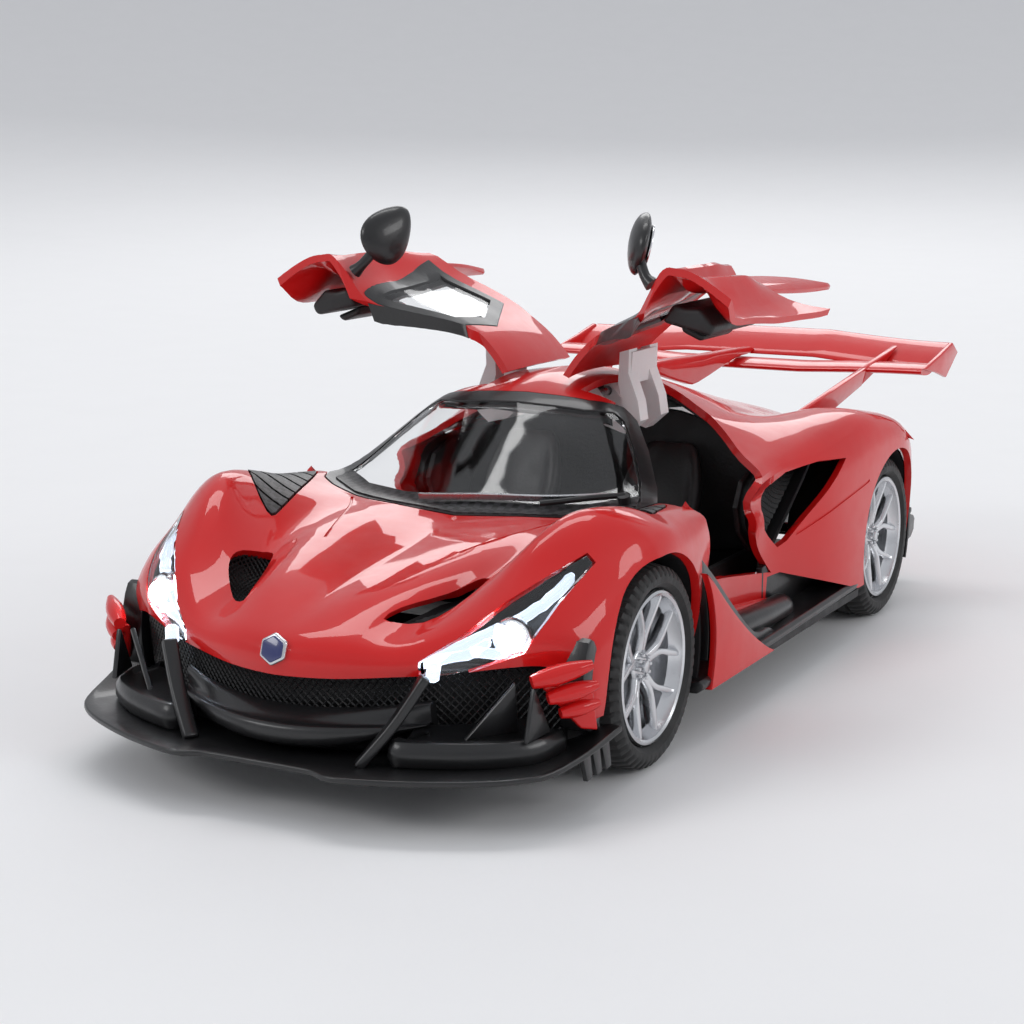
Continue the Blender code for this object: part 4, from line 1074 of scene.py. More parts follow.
    def flank_ribs(self, side, label):
        """The stepped red ribs and the pointed tail of the fender, ahead of the wheel, on a black blade."""
        ribs = []
        for (x, y, z), (far_x, far_y, far_z), size in (((36.6, -88.4, 21.2), (43.2, -82.2, 23.2), 1.5),
                                                        ((38.4, -86.8, 18.6), (43.8, -81.6, 20.2), 1.4),
                                                        ((39.6, -85.2, 16.2), (43.6, -80.6, 17.2), 1.2)):
            start, end = at(side * x, y, z), at(side * far_x, far_y, far_z)
            route = [start.lerp(end, step / 6) for step in range(7)]
            ribs.append(tube("rib", route, [size * (0.35 + 0.65 * math.sin(math.pi * (0.15 + 0.8 * k / 6)))
                                            for k in range(7)], 12))
        corners = [(37.4, -87.2, 20.6), (43.2, -81.8, 19.6), (43.0, -79.6, 12.6), (41.6, -82.4, 13.4)]
        ring = [at(side * x, y, z) for x, y, z in corners]
        inwards = at(-side * 1.2, 1.0, 0) - at(0, 0, 0)
        tail = loft("tail", [ring, [p + inwards for p in ring]])
        ribs.append(rounded(tail, 0.4, 3))
        dressed(joined(f"{label}_fender_ribs", *ribs), "car", "red_plastic", red_paint, smooth=45)
        outline = [(-80.6, 12.6), (-82.0, 19), (-80.0, 25.6), (-77.2, 24.4), (-75.6, 17.4), (-76.2, 12.6)]
        blade = rounded(side_prism(f"{label}_fender_blade", curved(outline, 3), side, 37.4, 41.6), 0.4, 2, 50)
        as_trim(blade)

    def badge(self):
        """A plain six-sided enamel badge in a silver rim, with nothing on it."""
        centre = nearest(at(0, -99.4, 24.2))
        out = Vector((0, -1, 0.34)).normalized()
        rim = rod("badge_rim", centre + out * 0.1 * MM, out, 2.5, 0.9, 6)
        dressed(rounded(rim, 0.35, 3), "car", "silver_rim", silver_plating)
        face = rod("badge_face", centre + out * 0.35 * MM, out, 2.1, 0.9, 6)
        dressed(rounded(face, 0.3, 3), "car", "badge_enamel", badge_enamel, "nose_badge")


class CAR_OT_lamps(bpy.types.Operator):
    """Build the headlamps, the bonnet vents and the fender louvres"""

    bl_idname = "car.lamps"
    bl_label = "Lamps and vents"

    def execute(self, context):
        for side, label in SIDES:
            self.lamp(side, label)
            self.vent(side, label)
            self.louvre(side, label)
        return {"FINISHED"}

    def lamp(self, side, label):
        outline = flat_of(HEADLIGHT_FRONT, side)
        cover = keep(skin(f"{label}_lamp_cover", 0.8, side),
                     prism("cover_outline", outline, "Y", -FAR * 2, LAMP_BACK_Y))
        dressed(cover, "car", "clear_plastic", lamp_cover, f"{label}_headlight", smooth=50)
        bowl = trimmed(surface_object(f"{label}_lamp_bowl", side), self.behind_lamp)
        walled(bowl, LAMP_BOWL_WALL, LAMP_DEPTH, even=False)
        as_trim(bowl, smooth=50)
        out = Vector((side * 0.25, -1, 0.05)).normalized()
        centre = at(side * 31.2, -84.6, 26.0)
        reflector = rod("reflector", centre - out * 1.6 * MM, out, 2.9, 2.6, 32)
        dressed(rounded(reflector, 0.4, 2), "car", "silver_rim", silver_plating)
        reflector.name = f"{label}_lamp_reflector"
        only_none()
        bpy.ops.mesh.primitive_uv_sphere_add(segments=32, ring_count=16, radius=2.0 * MM, location=centre)
        lens = settled(f"{label}_lamp_lens")
        dressed(lens, "car", "lamp_white", lamp_light, f"{label}_lamp")
        guides = [
            [(20.6, -95.6, 23.1), (24.6, -91.8, 24.4), (28.2, -88.4, 24.4), (31.8, -85.6, 23.6)],
            [(21.0, -95.2, 23.6), (26.0, -90.8, 26.8), (31.0, -87.0, 29.4), (35.4, -81.6, 32.8),
             (36.6, -74, 35.0)],
            [(23.2, -92.6, 23.6), (22.9, -93.0, 20.6)],
            [(27.4, -89.4, 24.6), (29.4, -87.6, 26.8)],
        ]
        bars = []
        for width, route in zip((1.1, 1.2, TOOTH_WIDTH, 1.0), guides):
            line = [at(side * x, y, z) for x, y, z in refined(route, 5)]
            if width != TOOTH_WIDTH:
                line = [nearest(point, -GUIDE_DEPTH) for point in line]
            bars.append(tube("guide", line, [width * (0.35 if i in (0, len(line) - 1) else 0.7)
                                             for i in range(len(line))], 10))
        dressed(joined(f"{label}_light_guides", *bars), "car", "clear_plastic", light_guide, smooth=50)

    def behind_lamp(self, point):
        """Whether a point of the surface is near the lamp's opening and ahead of the wheel."""
        near, far = at(18, -74, 19), at(40.5, -74, 39)
        return point.y < near.y and near.x < abs(point.x) < far.x and near.z < point.z < far.z

    def vent(self, side, label):
        """The sunk vent in the bonnet: a mesh in a smooth black tray."""
        tray = keep(skin(f"{label}_vent_tray", 0.6, side, 3.0),
                    prism("tray_outline", flat_of(grown(HOOD_VENT_PLAN, 2.0), side), "Z", 18, FAR))
        dressed(tray, "car", "black_plastic", black_floor, smooth=50)
        first = [on_top(side * x, y, -2.2) for x, y in refined([(12.2, -89.4), (17.4, -76), (19.2, -71),
                                                                (24.6, -63.4)], 4)]
        second = [on_top(side * x, y, -1.9) for x, y in refined([(13.2, -89.2), (20, -82), (24.6, -74.6),
                                                                 (25.8, -64)], 4)]
        made = lattice(f"{label}_vent_mesh", between(first, second), 22, 7)
        dressed(made, "car", "black_mesh", black_mesh)

    def louvre(self, side, label):
        """Curved slats over a dark recess."""
        outline = flat_of(curved(grown(LOUVRE_PLAN, -GAP)), side)
        slats = keep(skin(f"{label}_louvre_slats", 1.2, side, -0.1),
                     prism("slat_outline", outline, "Z", PLAN_CUT_Z, FAR))
        for step in range(7):
            a, b = Vector((23.0, -57.6 + 3.6 * step)), Vector((39.0, -61.0 + 4.2 * step))
            over = (b - a).normalized().orthogonal() * 0.35
            corners = [a - over, b - over, b + over, a + over]
            cut(slats, prism("slat_gap", [(side * p.x, p.y) for p in corners], "Z", PLAN_CUT_Z, FAR))
        dressed(slats, "car", "black_plastic", carbon_cowl, f"{label}_louvre", smooth=40)
        recess = keep(skin(f"{label}_louvre_recess", 0.6, side, 1.9),
                      prism("recess_outline", flat_of(grown(LOUVRE_PLAN, 1.0), side), "Z", 28, FAR))
        dressed(recess, "car", "black_plastic", black_mesh, smooth=50)


class CAR_OT_flanks(bpy.types.Operator):
    """Build the side intakes, the red blades, the sills and the skirts"""

    bl_idname = "car.flanks"
    bl_label = "Flanks"

    def execute(self, context):
        for side, label in SIDES:
            self.intake(side, label)
            self.blade(side, label)
            self.sill(side, label)
        return {"FINISHED"}

    def intake(self, side, label):
        """A mesh deep in the flank's opening, inside a thin black frame."""
        top = [at(side * 33.4, y, z) for y, z in ((30.6, 36.8), (21, 37.2), (10, 36.4), (3.6, 34.2),
                                                  (1.8, 31.4))]
        low = [at(side * 33.4, y, z) for y, z in ((30.6, 36.2), (24, 31.2), (15.4, 25.8), (9.6, 22.6),
                                                  (3.0, 26.8))]
        made = lattice(f"{label}_intake_mesh", between(top, low), 22, 10)
        dressed(made, "car", "black_mesh", black_mesh)
        back = rounded(side_prism(f"{label}_intake_back", grown(INTAKE_SIDE, 1.2), side, 31.2, 32.2), 0.2)
        dressed(back, "car", "black_mesh", black_floor, f"{label}_side_intake")
        outer = side_prism(f"{label}_intake_trim", curved(grown(INTAKE_SIDE, 0.5), 3), side, 33.2, 35.6)
        cut(outer, side_prism("trim_hole", curved(grown(INTAKE_SIDE, -0.7), 3), side, 32, 37))
        as_trim(rounded(outer, 0.2))

    def blade(self, side, label):
        """The red blade behind the front wheel, with a black one inside it."""
        clear = TYRE_RADIUS / MM + 2.6
        front = []
        for step in range(11):
            z = 28.3 - 19.9 * step / 10
            front.append((-BASE_WHEELBASE / 2 + math.sqrt(clear ** 2 - (z - WHEEL_Z / MM) ** 2) + 0.6, z))
        back = refined([(-10, 8.4), (-14.4, 10.2), (-22.4, 14.6), (-31.4, 20.8), (-39.6, 27.2),
                        (-41.8, 28.4)], 4)
        outline = front + [tuple(p) for p in back[:-1]]
        red = rounded(side_prism(f"{label}_red_blade", outline, side, 42.7, 43.8), 0.35, 3, 45)
        dressed(red, "car", "red_plastic", red_paint, f"{label}_side_blade")
        back = refined([(-4, 9.6), (-8, 11.8), (-15, 12.6), (-24, 18.6), (-33, 25.6), (-39.4, 30.2)], 4)
        outline = [(x + 1.2, z) for x, z in front[:9]] + [tuple(p) for p in back]
        black = rounded(side_prism(f"{label}_black_blade", outline, side, 40.0, 42.0), 0.5, 3, 45)
        as_trim(black)

    def sill(self, side, label):
        """The red step under the door, the round barrel beside it and the skirt's edge."""
        outline = curved([(-33, 12.0), (-33, 21.6), (-26, 21.2), (-14, 19.2), (2, 17.2), (10, 16.6),
                          (10, 12.0)], 2)
        step = rounded(side_prism(f"{label}_door_step", outline, side, 29.4, 33.8), 0.6, 3, 40)
        as_paint(step, f"{label}_sill")
        outline = [(-35, 9.8), (-35, 16.6), (-10, 15.2), (4, 14.0), (9.4, 13.0), (9.4, 9.8)]
        wall = rounded(side_prism(f"{label}_step_wall", outline, side, 34.0, 36.6), 0.8, 3, 40)
        as_paint(wall)
        route = [at(side * x, y, z) for x, y, z in refined([(37.4, -21, 12.4), (38.2, -15, 12.8),
                                                            (38.6, -4, 12.4), (38.2, 6, 11.8),
                                                            (37.6, 11, 11.4)], 4)]
        last = len(route) - 1
        radii = [2.5 * min(1.0, 0.45 + 0.55 * min(i, last - i) / 3) for i in range(last + 1)]
        as_trim(tube(f"{label}_skirt_barrel", route, radii, 20), smooth=50)
        rings = []
        for step in range(25):
            y = -41.6 + 78 * step / 24
            z = 8.3 + 1.0 * step / 24
            rings.append([at(side * x, y, z + up) for x, up in ((36, 0), (42.4, 0), (43.4, 0.7), (43.5, 1.6),
                                                                (42.8, 2.2), (41.8, 1.9), (36, 1.7))])
        as_trim(rounded(loft(f"{label}_skirt", rings), 0.2), smooth=40)


# How deep the tyre's blocks and round grooves are cut, in mm, and the wheel's lugs and their circle
BLOCK_DEPTH, GROOVE_DEPTH = 0.55, 0.6
LUGS, LUG_CIRCLE = 10, 2.0


class CAR_OT_wheels(bpy.types.Operator):
    """Build the four treaded tyres and double-spoked wheels"""

    bl_idname = "car.wheels"
    bl_label = "Wheels"

    def execute(self, context):
        for place, axle in (("front", FRONT_AXLE), ("rear", REAR_AXLE)):
            for side, label in SIDES:
                centre = Vector((side * WHEEL_X, axle.y, WHEEL_Z))
                self.tyre(f"{label}_{place}", centre, side, f"{place}_wheels")
                self.rim(f"{label}_{place}", centre, side, f"{place}_wheels")
        return {"FINISHED"}

    def spot(self, centre, side, reach, out=Vector((0, 0, 0))):
        """A world point a reach outwards from a wheel's centre, and a way from its axis, in mm."""
        return centre + Vector((side * reach * MM, 0, 0)) + out * MM

    def tyre(self, name, centre, side, body):
        """A low tyre with cut shoulder blocks and two grooves round its tread."""
        tread, half = TYRE_RADIUS / MM, TYRE_HALF / MM
        bead = RIM_RADIUS / MM + 0.25
        section = [(-half + 1, bead), (-half + 0.1, bead + 0.8), (-half, bead + 1.8),
                   (-half + 0.15, tread - 1.3), (-half + 0.9, tread - 0.35), (-3.1, tread), (-2.0, tread),
                   (-1.9, tread - GROOVE_DEPTH), (-1.4, tread - GROOVE_DEPTH), (-1.3, tread), (1.3, tread),
                   (1.4, tread - GROOVE_DEPTH), (1.9, tread - GROOVE_DEPTH), (2.0, tread), (3.1, tread),
                   (half - 0.9, tread - 0.35), (half - 0.15, tread - 1.3), (half, bead + 1.8),
                   (half - 0.1, bead + 0.8), (half - 1, bead)]
        blocks = sizes().tread_blocks
        rings = []
        for step in range(blocks * 4):
            angle = 2 * math.pi * step / (blocks * 4)
            out = Vector((0, math.cos(angle), math.sin(angle)))
            groove = BLOCK_DEPTH if step % 4 == 0 else 0.0
            ring = []
            for x, r in section:
                shoulder = abs(x) > 2.5 and r > tread - 1.5
                ring.append(self.spot(centre, side, x, out * (r - groove * shoulder)))
            rings.append(ring)
        tyre = loft(f"{name}_treaded_tyre", rings, closed=True)
        dressed(tyre, body, "tyre_rubber", tyre_rubber, f"{name}_tyre", smooth=38)

    def rim(self, name, centre, side, body):
        """A barrel and lip, double-Y spokes, a hub and its lugs."""
        radius, edge = RIM_RADIUS / MM, TYRE_HALF / MM - 0.6
        section = [(-edge, radius), (edge - 0.5, radius), (edge, radius - 0.2), (edge + 0.15, radius - 0.6),
                   (edge - 0.1, radius - 1.0), (edge - 1.4, radius - 1.3), (edge - 2.2, radius - 1.9),
                   (-edge + 1, radius - 1.7), (-edge, radius - 0.8)]
        rings = []
        for step in range(96):
            angle = 2 * math.pi * step / 96
            out = Vector((0, math.cos(angle), math.sin(angle)))
            rings.append([self.spot(centre, side, x, out * r) for x, r in section])
        pieces = [loft("barrel", rings, closed=True)]
        for spoke in range(sizes().spokes):
            pieces += self.spoke(centre, side, math.radians(90 + 360 / sizes().spokes * spoke), radius, edge)
        hub = rod("hub", self.spot(centre, side, edge - 3.4), (side, 0, 0), 2.9, 2.4, 30)
        pieces.append(rounded(hub, 0.5, 3))
        cap = rod("cap", self.spot(centre, side, edge - 1.9), (side, 0, 0), 1.0, 1.6, 24)
        pieces.append(rounded(cap, 0.25, 2))
        for lug in range(LUGS):
            angle = 2 * math.pi * lug / LUGS
            out = Vector((0, math.cos(angle), math.sin(angle)))
            spot = self.spot(centre, side, edge - 2.0, out * LUG_CIRCLE)
            pieces.append(rounded(rod("lug", spot, (side, 0, 0), 0.38, 1.2, 6), 0.1, 1))
        wheel = joined(f"{name}_spoked_wheel", *pieces)
        dressed(wheel, body, "silver_rim", silver_plating, f"{name}_rim", smooth=35)
        drum = rod(f"{name}_brake_disc", self.spot(centre, side, edge - 6.6), (side, 0, 0), 8.4, 0.8, 48)
        dressed(rounded(drum, 0.2), body, "steel", bright_steel)

    def spoke(self, centre, side, turn, radius, edge):
        """One stem that parts into two thin arms, dished towards the hub."""
        out = Vector((0, math.cos(turn), math.sin(turn)))
        across = Vector((0, -math.sin(turn), math.cos(turn)))

        def spot(r, t):
            dish = edge - 0.5 - 2.0 * (1 - r / radius) ** 1.3
            return centre + Vector((side * dish * MM, 0, 0)) + out * r * MM + across * t * MM

        routes = []
        for sign in (1, -1):
            routes.append([(2.2, sign * 0.35), (4.4, sign * 0.45), (6.0, sign * 0.9), (8.4, sign * 2.5),
                           (radius - 0.8, sign * 4.5)])
        arms = []
        for route in routes:
            points = refined([spot(r, t) for r, t in route], 3)
            rings = []
            for i, point in enumerate(points):
                ahead = (points[min(i + 1, len(points) - 1)] - points[max(i - 1, 0)]).normalized()
                share = i / (len(points) - 1)
                wide = ahead.cross(Vector((side, 0, 0))).normalized() * (0.80 - 0.28 * share) * MM
                deep = Vector((side * (1.5 - 0.3 * share) * MM, 0, 0))
                rings.append([point + wide * 0.62, point - wide * 0.62, point - wide - deep * 0.7,
                              point - wide * 0.9 - deep * 1.5, point + wide * 0.9 - deep * 1.5,
                              point + wide - deep * 0.7])
            arms.append(rounded(loft("arm", rings), 0.12, 2))
        return arms


class CAR_OT_cabin(bpy.types.Operator):
    """Build the bucket seats, the dashboard and the steering wheel"""

    bl_idname = "car.cabin"
    bl_label = "Cabin"

    def execute(self, context):
        for side, label in SIDES:
            self.seat(label)
        self.dashboard()
        self.steering()
        console = curved([(-30, 11.6), (-29, 20), (-18, 19), (-6, 18), (6, 22), (17, 24), (17.2, 11.6)], 2)
        as_cabin(rounded(prism("centre_console", console, "X", -4.6, 4.6), 0.8, 3, 40))
        bulkhead = curved([(-28, 20), (-26, 38), (-14, 45), (14, 45), (26, 38), (28, 20)], 3)
        wall = prism("rear_bulkhead", bulkhead, "Y", 16.0, 17.2)
        as_cabin(rounded(wall, 0.3))
        return {"FINISHED"}

    def seat(self, label):
        """A moulded bucket: a crowned base and back between raised sides."""
        low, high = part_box(f"{label}_seat")
        middle_x = (low.x + high.x) / 2 / MM / WIDE
        half = (high.x - low.x) / 2 / MM / WIDE
        spine = refined([(-13.2, 14.4), (-9, 15.0), (-2, 14.6), (2.6, 16.6), (5.4, 23), (8.4, 31.4),
                         (10.6, 37.6), (12.0, 39.4)], 3)
        rings = []
        for i, point in enumerate(spine):
            ahead = spine[min(i + 1, len(spine) - 1)] - spine[max(i - 1, 0)]
            out = Vector((-ahead.y, ahead.x)).normalized()
            share = i / (len(spine) - 1)
            width = half * (0.98 - 0.45 * max(0.0, share - 0.72) / 0.28)
            bolster = 3.0 * math.sin(math.pi * min(1.0, share * 1.12)) + 0.4
            section = [(-1.0, 0.0), (-1.0, bolster * 0.9), (-0.9, bolster + 0.5), (-0.74, bolster + 0.3),
                       (-0.6, 0.9), (-0.3, 0.35), (0, 0.7), (0.3, 0.35), (0.6, 0.9), (0.74, bolster + 0.3),
                       (0.9, bolster + 0.5), (1.0, bolster * 0.9), (1.0, 0.0), (0.9, -1.4), (0, -1.9),
                       (-0.9, -1.4)]
            ring = []
            for across, up in section:
                spot = point + out * up
                ring.append(at(middle_x + across * width, spot.x, spot.y))
            rings.append(ring)
        seat = loft(f"{label}_bucket_seat", rings)
        shaped(seat, "SUBSURF", levels=1, render_levels=1)
        as_cabin(seat, f"{label}_seat", smooth=60)

    def dashboard(self):
        profile = curved([(-38.6, 21), (-38.6, 29.6), (-35, 31.4), (-29, 30.6), (-26, 28.4), (-26.4, 25),
                          (-29.4, 21)], 3)
        top = rounded(prism("dash_moulding", profile, "X", -27.8, 27.8), 0.5, 3, 40)
        hood = curved([(-33, 30), (-30, 33), (-26.6, 32.6), (-25.4, 30.4), (-27, 28.6)], 3)
        cowl = rounded(prism("hood", hood, "X", 14.6 - 6.4, 14.6 + 6.4), 0.4, 2, 40)
        places = (-24, -16, -3.4, 3.4, 24)
        vents = [rod("vent", at(x, -26.2, 27.0), (0, 1, -0.2), 1.5, 1.0, 20) for x in places]
        as_cabin(joined("dash_moulding", top, cowl, *vents), "dashboard")

    def steering(self):
        centre = middle("steering_wheel")
        only_none()
        bpy.ops.mesh.primitive_torus_add(major_radius=5.2 * MM, minor_radius=0.7 * MM, major_segments=40,
                                         minor_segments=12, location=centre,
                                         rotation=(math.radians(68), 0, 0))
        ring = settled("hand_wheel")
        turn = Matrix.Rotation(math.radians(68), 3, "X")
        arms = []
        for angle in (0, 180, 270):
            way = turn @ Vector((math.cos(math.radians(angle)), math.sin(math.radians(angle)), 0))
            arms.append(tube("arm", [centre, centre + way * 2.6 * MM, centre + way * 5 * MM],
                             [1.0, 0.6, 0.5], 8))
        hub = rod("hub", centre, turn @ Vector((0, 0, 1)), 1.6, 1.5, 24)
        column = tube("column", [centre, centre + Vector((0, -6, -1.6)) * MM], [1.0, 1.2], 12)
        as_cabin(joined("hand_wheel", ring, rounded(hub, 0.3), column, *arms),
                "steering_wheel", smooth=50)


class CAR_OT_doors(bpy.types.Operator):
    """Build the two raised doors with their windows, cards, brackets and mirrors"""

    bl_idname = "car.doors"
    bl_label = "Doors"

    def execute(self, context):
        for side, label in SIDES:
            self.skin(side, label)
            self.window(side, label)
            self.card(side, label)
            # The goose-neck legs keep the shape they have in the frame and take a milky finish.
            repaint(f"{label}_door_bracket", hinge_white)
            self.mirror(side, label)
            self.tail(side, label)
        return {"FINISHED"}

    def opened(self, obj, side, label):
        """Swings a piece made in the shut place up to its place at rest."""
        joint = JOINTS[f"{label}_door_hinge"]
        hinge = Vector(joint["pos_m"])
        turn = Matrix.Rotation(-side * math.radians(max(joint["range_deg"])), 4, "Y")
        obj.data.transform(Matrix.Translation(hinge) @ turn @ Matrix.Translation(-hinge))
        return obj

    def hang(self, obj, side, label, slot, make, *nodes, smooth=32.0):
        self.opened(obj, side, label)
        return dressed(obj, f"{label}_door_leaf", slot, make, *nodes, smooth=smooth)

    def skin(self, side, label):
        door = keep(skin(f"{label}_door_skin", 1.2, side),
                    side_prism("door_outline", DOOR_SIDE, side, DOOR_INNER_X, FAR))
        cut(door, side_prism("window_hole", WINDOW_SIDE, side, 16, FAR),
            prism("screen_edge", grown(SCREEN_PLAN, DOOR_GAP), "Z", PLAN_CUT_Z, FAR))
        self.hang(door, side, label, "red_paint", red_paint, f"{label}_door", smooth=28)
        shaped(door, "WEIGHTED_NORMAL", keep_sharp=True, weight=90)

    def window(self, side, label):
        pane = keep(skin(f"{label}_door_pane", 0.8, side, 0.2),
                    side_prism("pane_outline", grown(WINDOW_SIDE, -GAP), side, 17, FAR))
        self.hang(pane, side, label, "clear_plastic", clear_glazing, f"{label}_door_window", smooth=60)
        border = keep(skin(f"{label}_window_border", 1.5, side, -0.12),
                      side_prism("border_outline", grown(WINDOW_SIDE, 0.9), side, 17, FAR))
        cut(border, side_prism("border_hole", grown(WINDOW_SIDE, -0.7), side, 16, FAR + 1))
        self.hang(border, side, label, "black_plastic", black_trim)

    def card(self, side, label):
        """The black inner panel, moulded in steps."""
        card = [(29.9, 34.6), (33.6, 33.9), (33.8, 31.6), (34.9, 29.2), (33.2, 25.6), (31.2, 25.9)]
        panel = prism(f"{label}_inner_panel", [(side * x, z) for x, z in card], "Y", -28.4, -7.2)
        rounded(panel, 0.8, 3, 30)
        pocket = [(30.2, 33.0), (30.2, 27.6), (28.8, 28.4), (28.9, 32.0)]
        step = rounded(prism("step", [(side * x, z) for x, z in pocket], "Y", -24.5, -12), 0.6, 3, 30)
        self.hang(joined(f"{label}_inner_panel", panel, step), side, label, "interior_black", cabin_black,
                  f"{label}_door_card", smooth=40)

    def mirror(self, side, label):
        """A flat teardrop head on a tapering stalk, with its glass set in."""
        foot, neck, tip, facing = (Vector(p) * Vector((side, 1, 1)) for p in
                                   (MIRROR_FOOT, MIRROR_NECK, MIRROR_TIP, MIRROR_FACING))
        foot, neck, tip = at(*foot), at(*neck), at(*tip)
        forward = (tip - neck).normalized()
        facing = (facing - forward * facing.dot(forward)).normalized()
        across = facing.cross(forward)
        length = (tip - neck).length
        rings = []
        for step in range(25):
            share = (1 - math.cos(math.pi * step / 24)) / 2
            full = math.sin(math.acos(max(min(1 - 2 * share, 1), -1)))
            wide = MIRROR_HALF_WIDTH * full * (1 - MIRROR_TAPER * (2 * share - 1))
            centre = neck + forward * length * share
            ring = []
            for k in range(28):
                a = 2 * math.pi * k / 28
                up = math.sin(a)
                deep = MIRROR_HALF_DEPTH * (1.0 if up < 0 else 0.55)
                ring.append(centre + across * math.cos(a) * max(wide, 0.02) * MM
                            + facing * up * max(deep * full, 0.02) * MM)
            rings.append(ring)
        head = loft(f"{label}_mirror_head", rings)
        stalk = tube("stalk", refined([foot, foot.lerp(neck, 0.5), neck + forward * 2 * MM], 3),
                     [1.3, 1.2, 1.0, 0.9, 0.9, 0.9, 0.9], 12)
        self.hang(joined(f"{label}_mirror_head", head, stalk), side, label, "black_plastic", black_trim,
                  f"{label}_mirror", smooth=60)
        centre = neck.lerp(tip, 0.46) + facing * MIRROR_HALF_DEPTH * 0.50 * MM
        ring = [centre + (across * math.cos(a) * 3.2 + forward * math.sin(a) * 3.6) * MM
                for a in (2 * math.pi * k / 32 for k in range(32))]
        glass = loft(f"{label}_mirror_glass", [ring, [p + facing * 0.35 * MM for p in ring]])
        self.hang(rounded(glass, 0.12), side, label, "silver_rim", silver_plating)

    def tail(self, side, label):
        """The blade that trails from the door's rear edge and lies in the intake when the door is shut."""
        upper = [(36.2, -2.0, 34.4), (36.0, 8, 33.4), (35.6, 20, 31.4), (34.8, 32.4, 28.6)]
        lower = [(36.0, -2.4, 29.6), (35.4, 8, 28.6), (34.8, 20, 28.0), (34.4, 32.6, 27.9)]
        edges = [refined([at(side * x, y, z) for x, y, z in edge], 5) for edge in (upper, lower)]
        inwards = Vector((-side * 0.9 * MM, 0, 0))
        rings = [[a, b, b + inwards, a + inwards] for a, b in zip(*edges)]
        self.hang(rounded(loft(f"{label}_door_tail", rings), 0.25), side, label, "red_paint", red_paint)


class CAR_OT_tail(bpy.types.Operator):
    """Build the rear panel, the light, the diffuser and the exhaust"""

    bl_idname = "car.tail"
    bl_label = "Tail"

    def execute(self, context):
        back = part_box("rear_panel")[1].y
        base_back = (back - MIDPOINT_Y) / MM / LONG
        half = [(0, 32.6), (22, 31.4), (29, 31.4), (33.6, 30.4), (35.8, 28), (36.4, 21.4), (34.4, 17.4),
                (0, 17.4)]
        ring = half[:-1] + [(-x, z) for x, z in half[-2:0:-1]]
        panel = rounded(prism("tail_panel", ring, "Y", base_back - 2, base_back - 0.8), 0.3, 2)
        as_trim(panel, "rear_panel")
        edges = [[at(x, base_back - 0.3, z) for x in (-34, -12, 0, 12, 34)] for z in (19.0, 27.4)]
        made = lattice("tail_mesh_upper", between(*edges), round(68 * MM / sizes().mesh_pitch), 6)
        dressed(made, "car", "black_mesh", black_mesh)
        route = refined([(-32, base_back, 29.2), (-18, base_back + 0.4, 29.6), (0, base_back + 0.6, 29.8),
                         (18, base_back + 0.4, 29.6), (32, base_back, 29.2)], 8)
        light = bar("tail_light_bar", [at(*p) for p in route], 1.6, 1.6, (0, 1, 0))
        dressed(rounded(light, 0.3, 3), "car", "red_lens", red_lens, "tail_light")
        self.diffuser()
        self.exhaust(base_back)
        return {"FINISHED"}

    def diffuser(self):
        """A ramp with upright vanes and rolled edges."""
        rings = []
        for step in range(13):
            share = step / 12
            y, z = 76.8 + 15.2 * share, 9.9 + 4.6 * share ** 1.2
            rings.append([at(x, y, z + up) for x, up in ((-36.6, 0), (36.6, 0), (36.6, 1.2), (-36.6, 1.2))])
        pieces = [loft("ramp", rings)]
        vane = curved([(75.6, 8.8), (75.8, 14.4), (82, 16.1), (90.6, 14.2), (91.2, 12.4), (89.2, 9.6)], 2)
        for x in (-36.9, -24, -15.5, -7, 7, 15.5, 24, 36.9):
            pieces.append(prism("vane", vane, "X", x - 0.6, x + 0.6))
        for piece in pieces:
            rounded(piece, 0.3, 2, 40)
        as_trim(joined("tail_diffuser", *pieces), "diffuser", smooth=40)

    def exhaust(self, base_back):
        """Three hollow pipes in a bright plate."""
        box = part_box("exhaust_tips")
        z = (box[0].z + box[1].z) / 2
        plate = rounded(prism("plate", [(-10, 18.4), (10, 18.4), (9, 24.4), (-9, 24.4)], "Y", base_back + 0.1,
                              base_back + 1.4), 0.4, 2)
        pipes = [plate]
        for x in (-5.6, 0.0, 5.6):
            section = [(0.4, 1.7), (0.4, 2.2), (6.6, 2.2), (6.9, 2.0), (6.9, 1.8), (6.4, 1.6)]
            rings = []
            for step in range(32):
                a = 2 * math.pi * step / 32
                rings.append([Vector((x * MM * WIDE + math.cos(a) * r * MM, box[0].y + y * MM,
                                      z + math.sin(a) * r * MM)) for y, r in section])
            pipes.append(loft("pipe", rings, closed=True))
        dressed(joined("exhaust_pipes", *pipes), "car", "steel", bright_steel, "exhaust_tips", smooth=40)


# The wing's half span, its flat middle's half, and the stretch that rises or falls beyond it
WING_HALF_SPAN, WING_FLAT_HALF, WING_RISE_LENGTH = 42.2, 15, 27.2


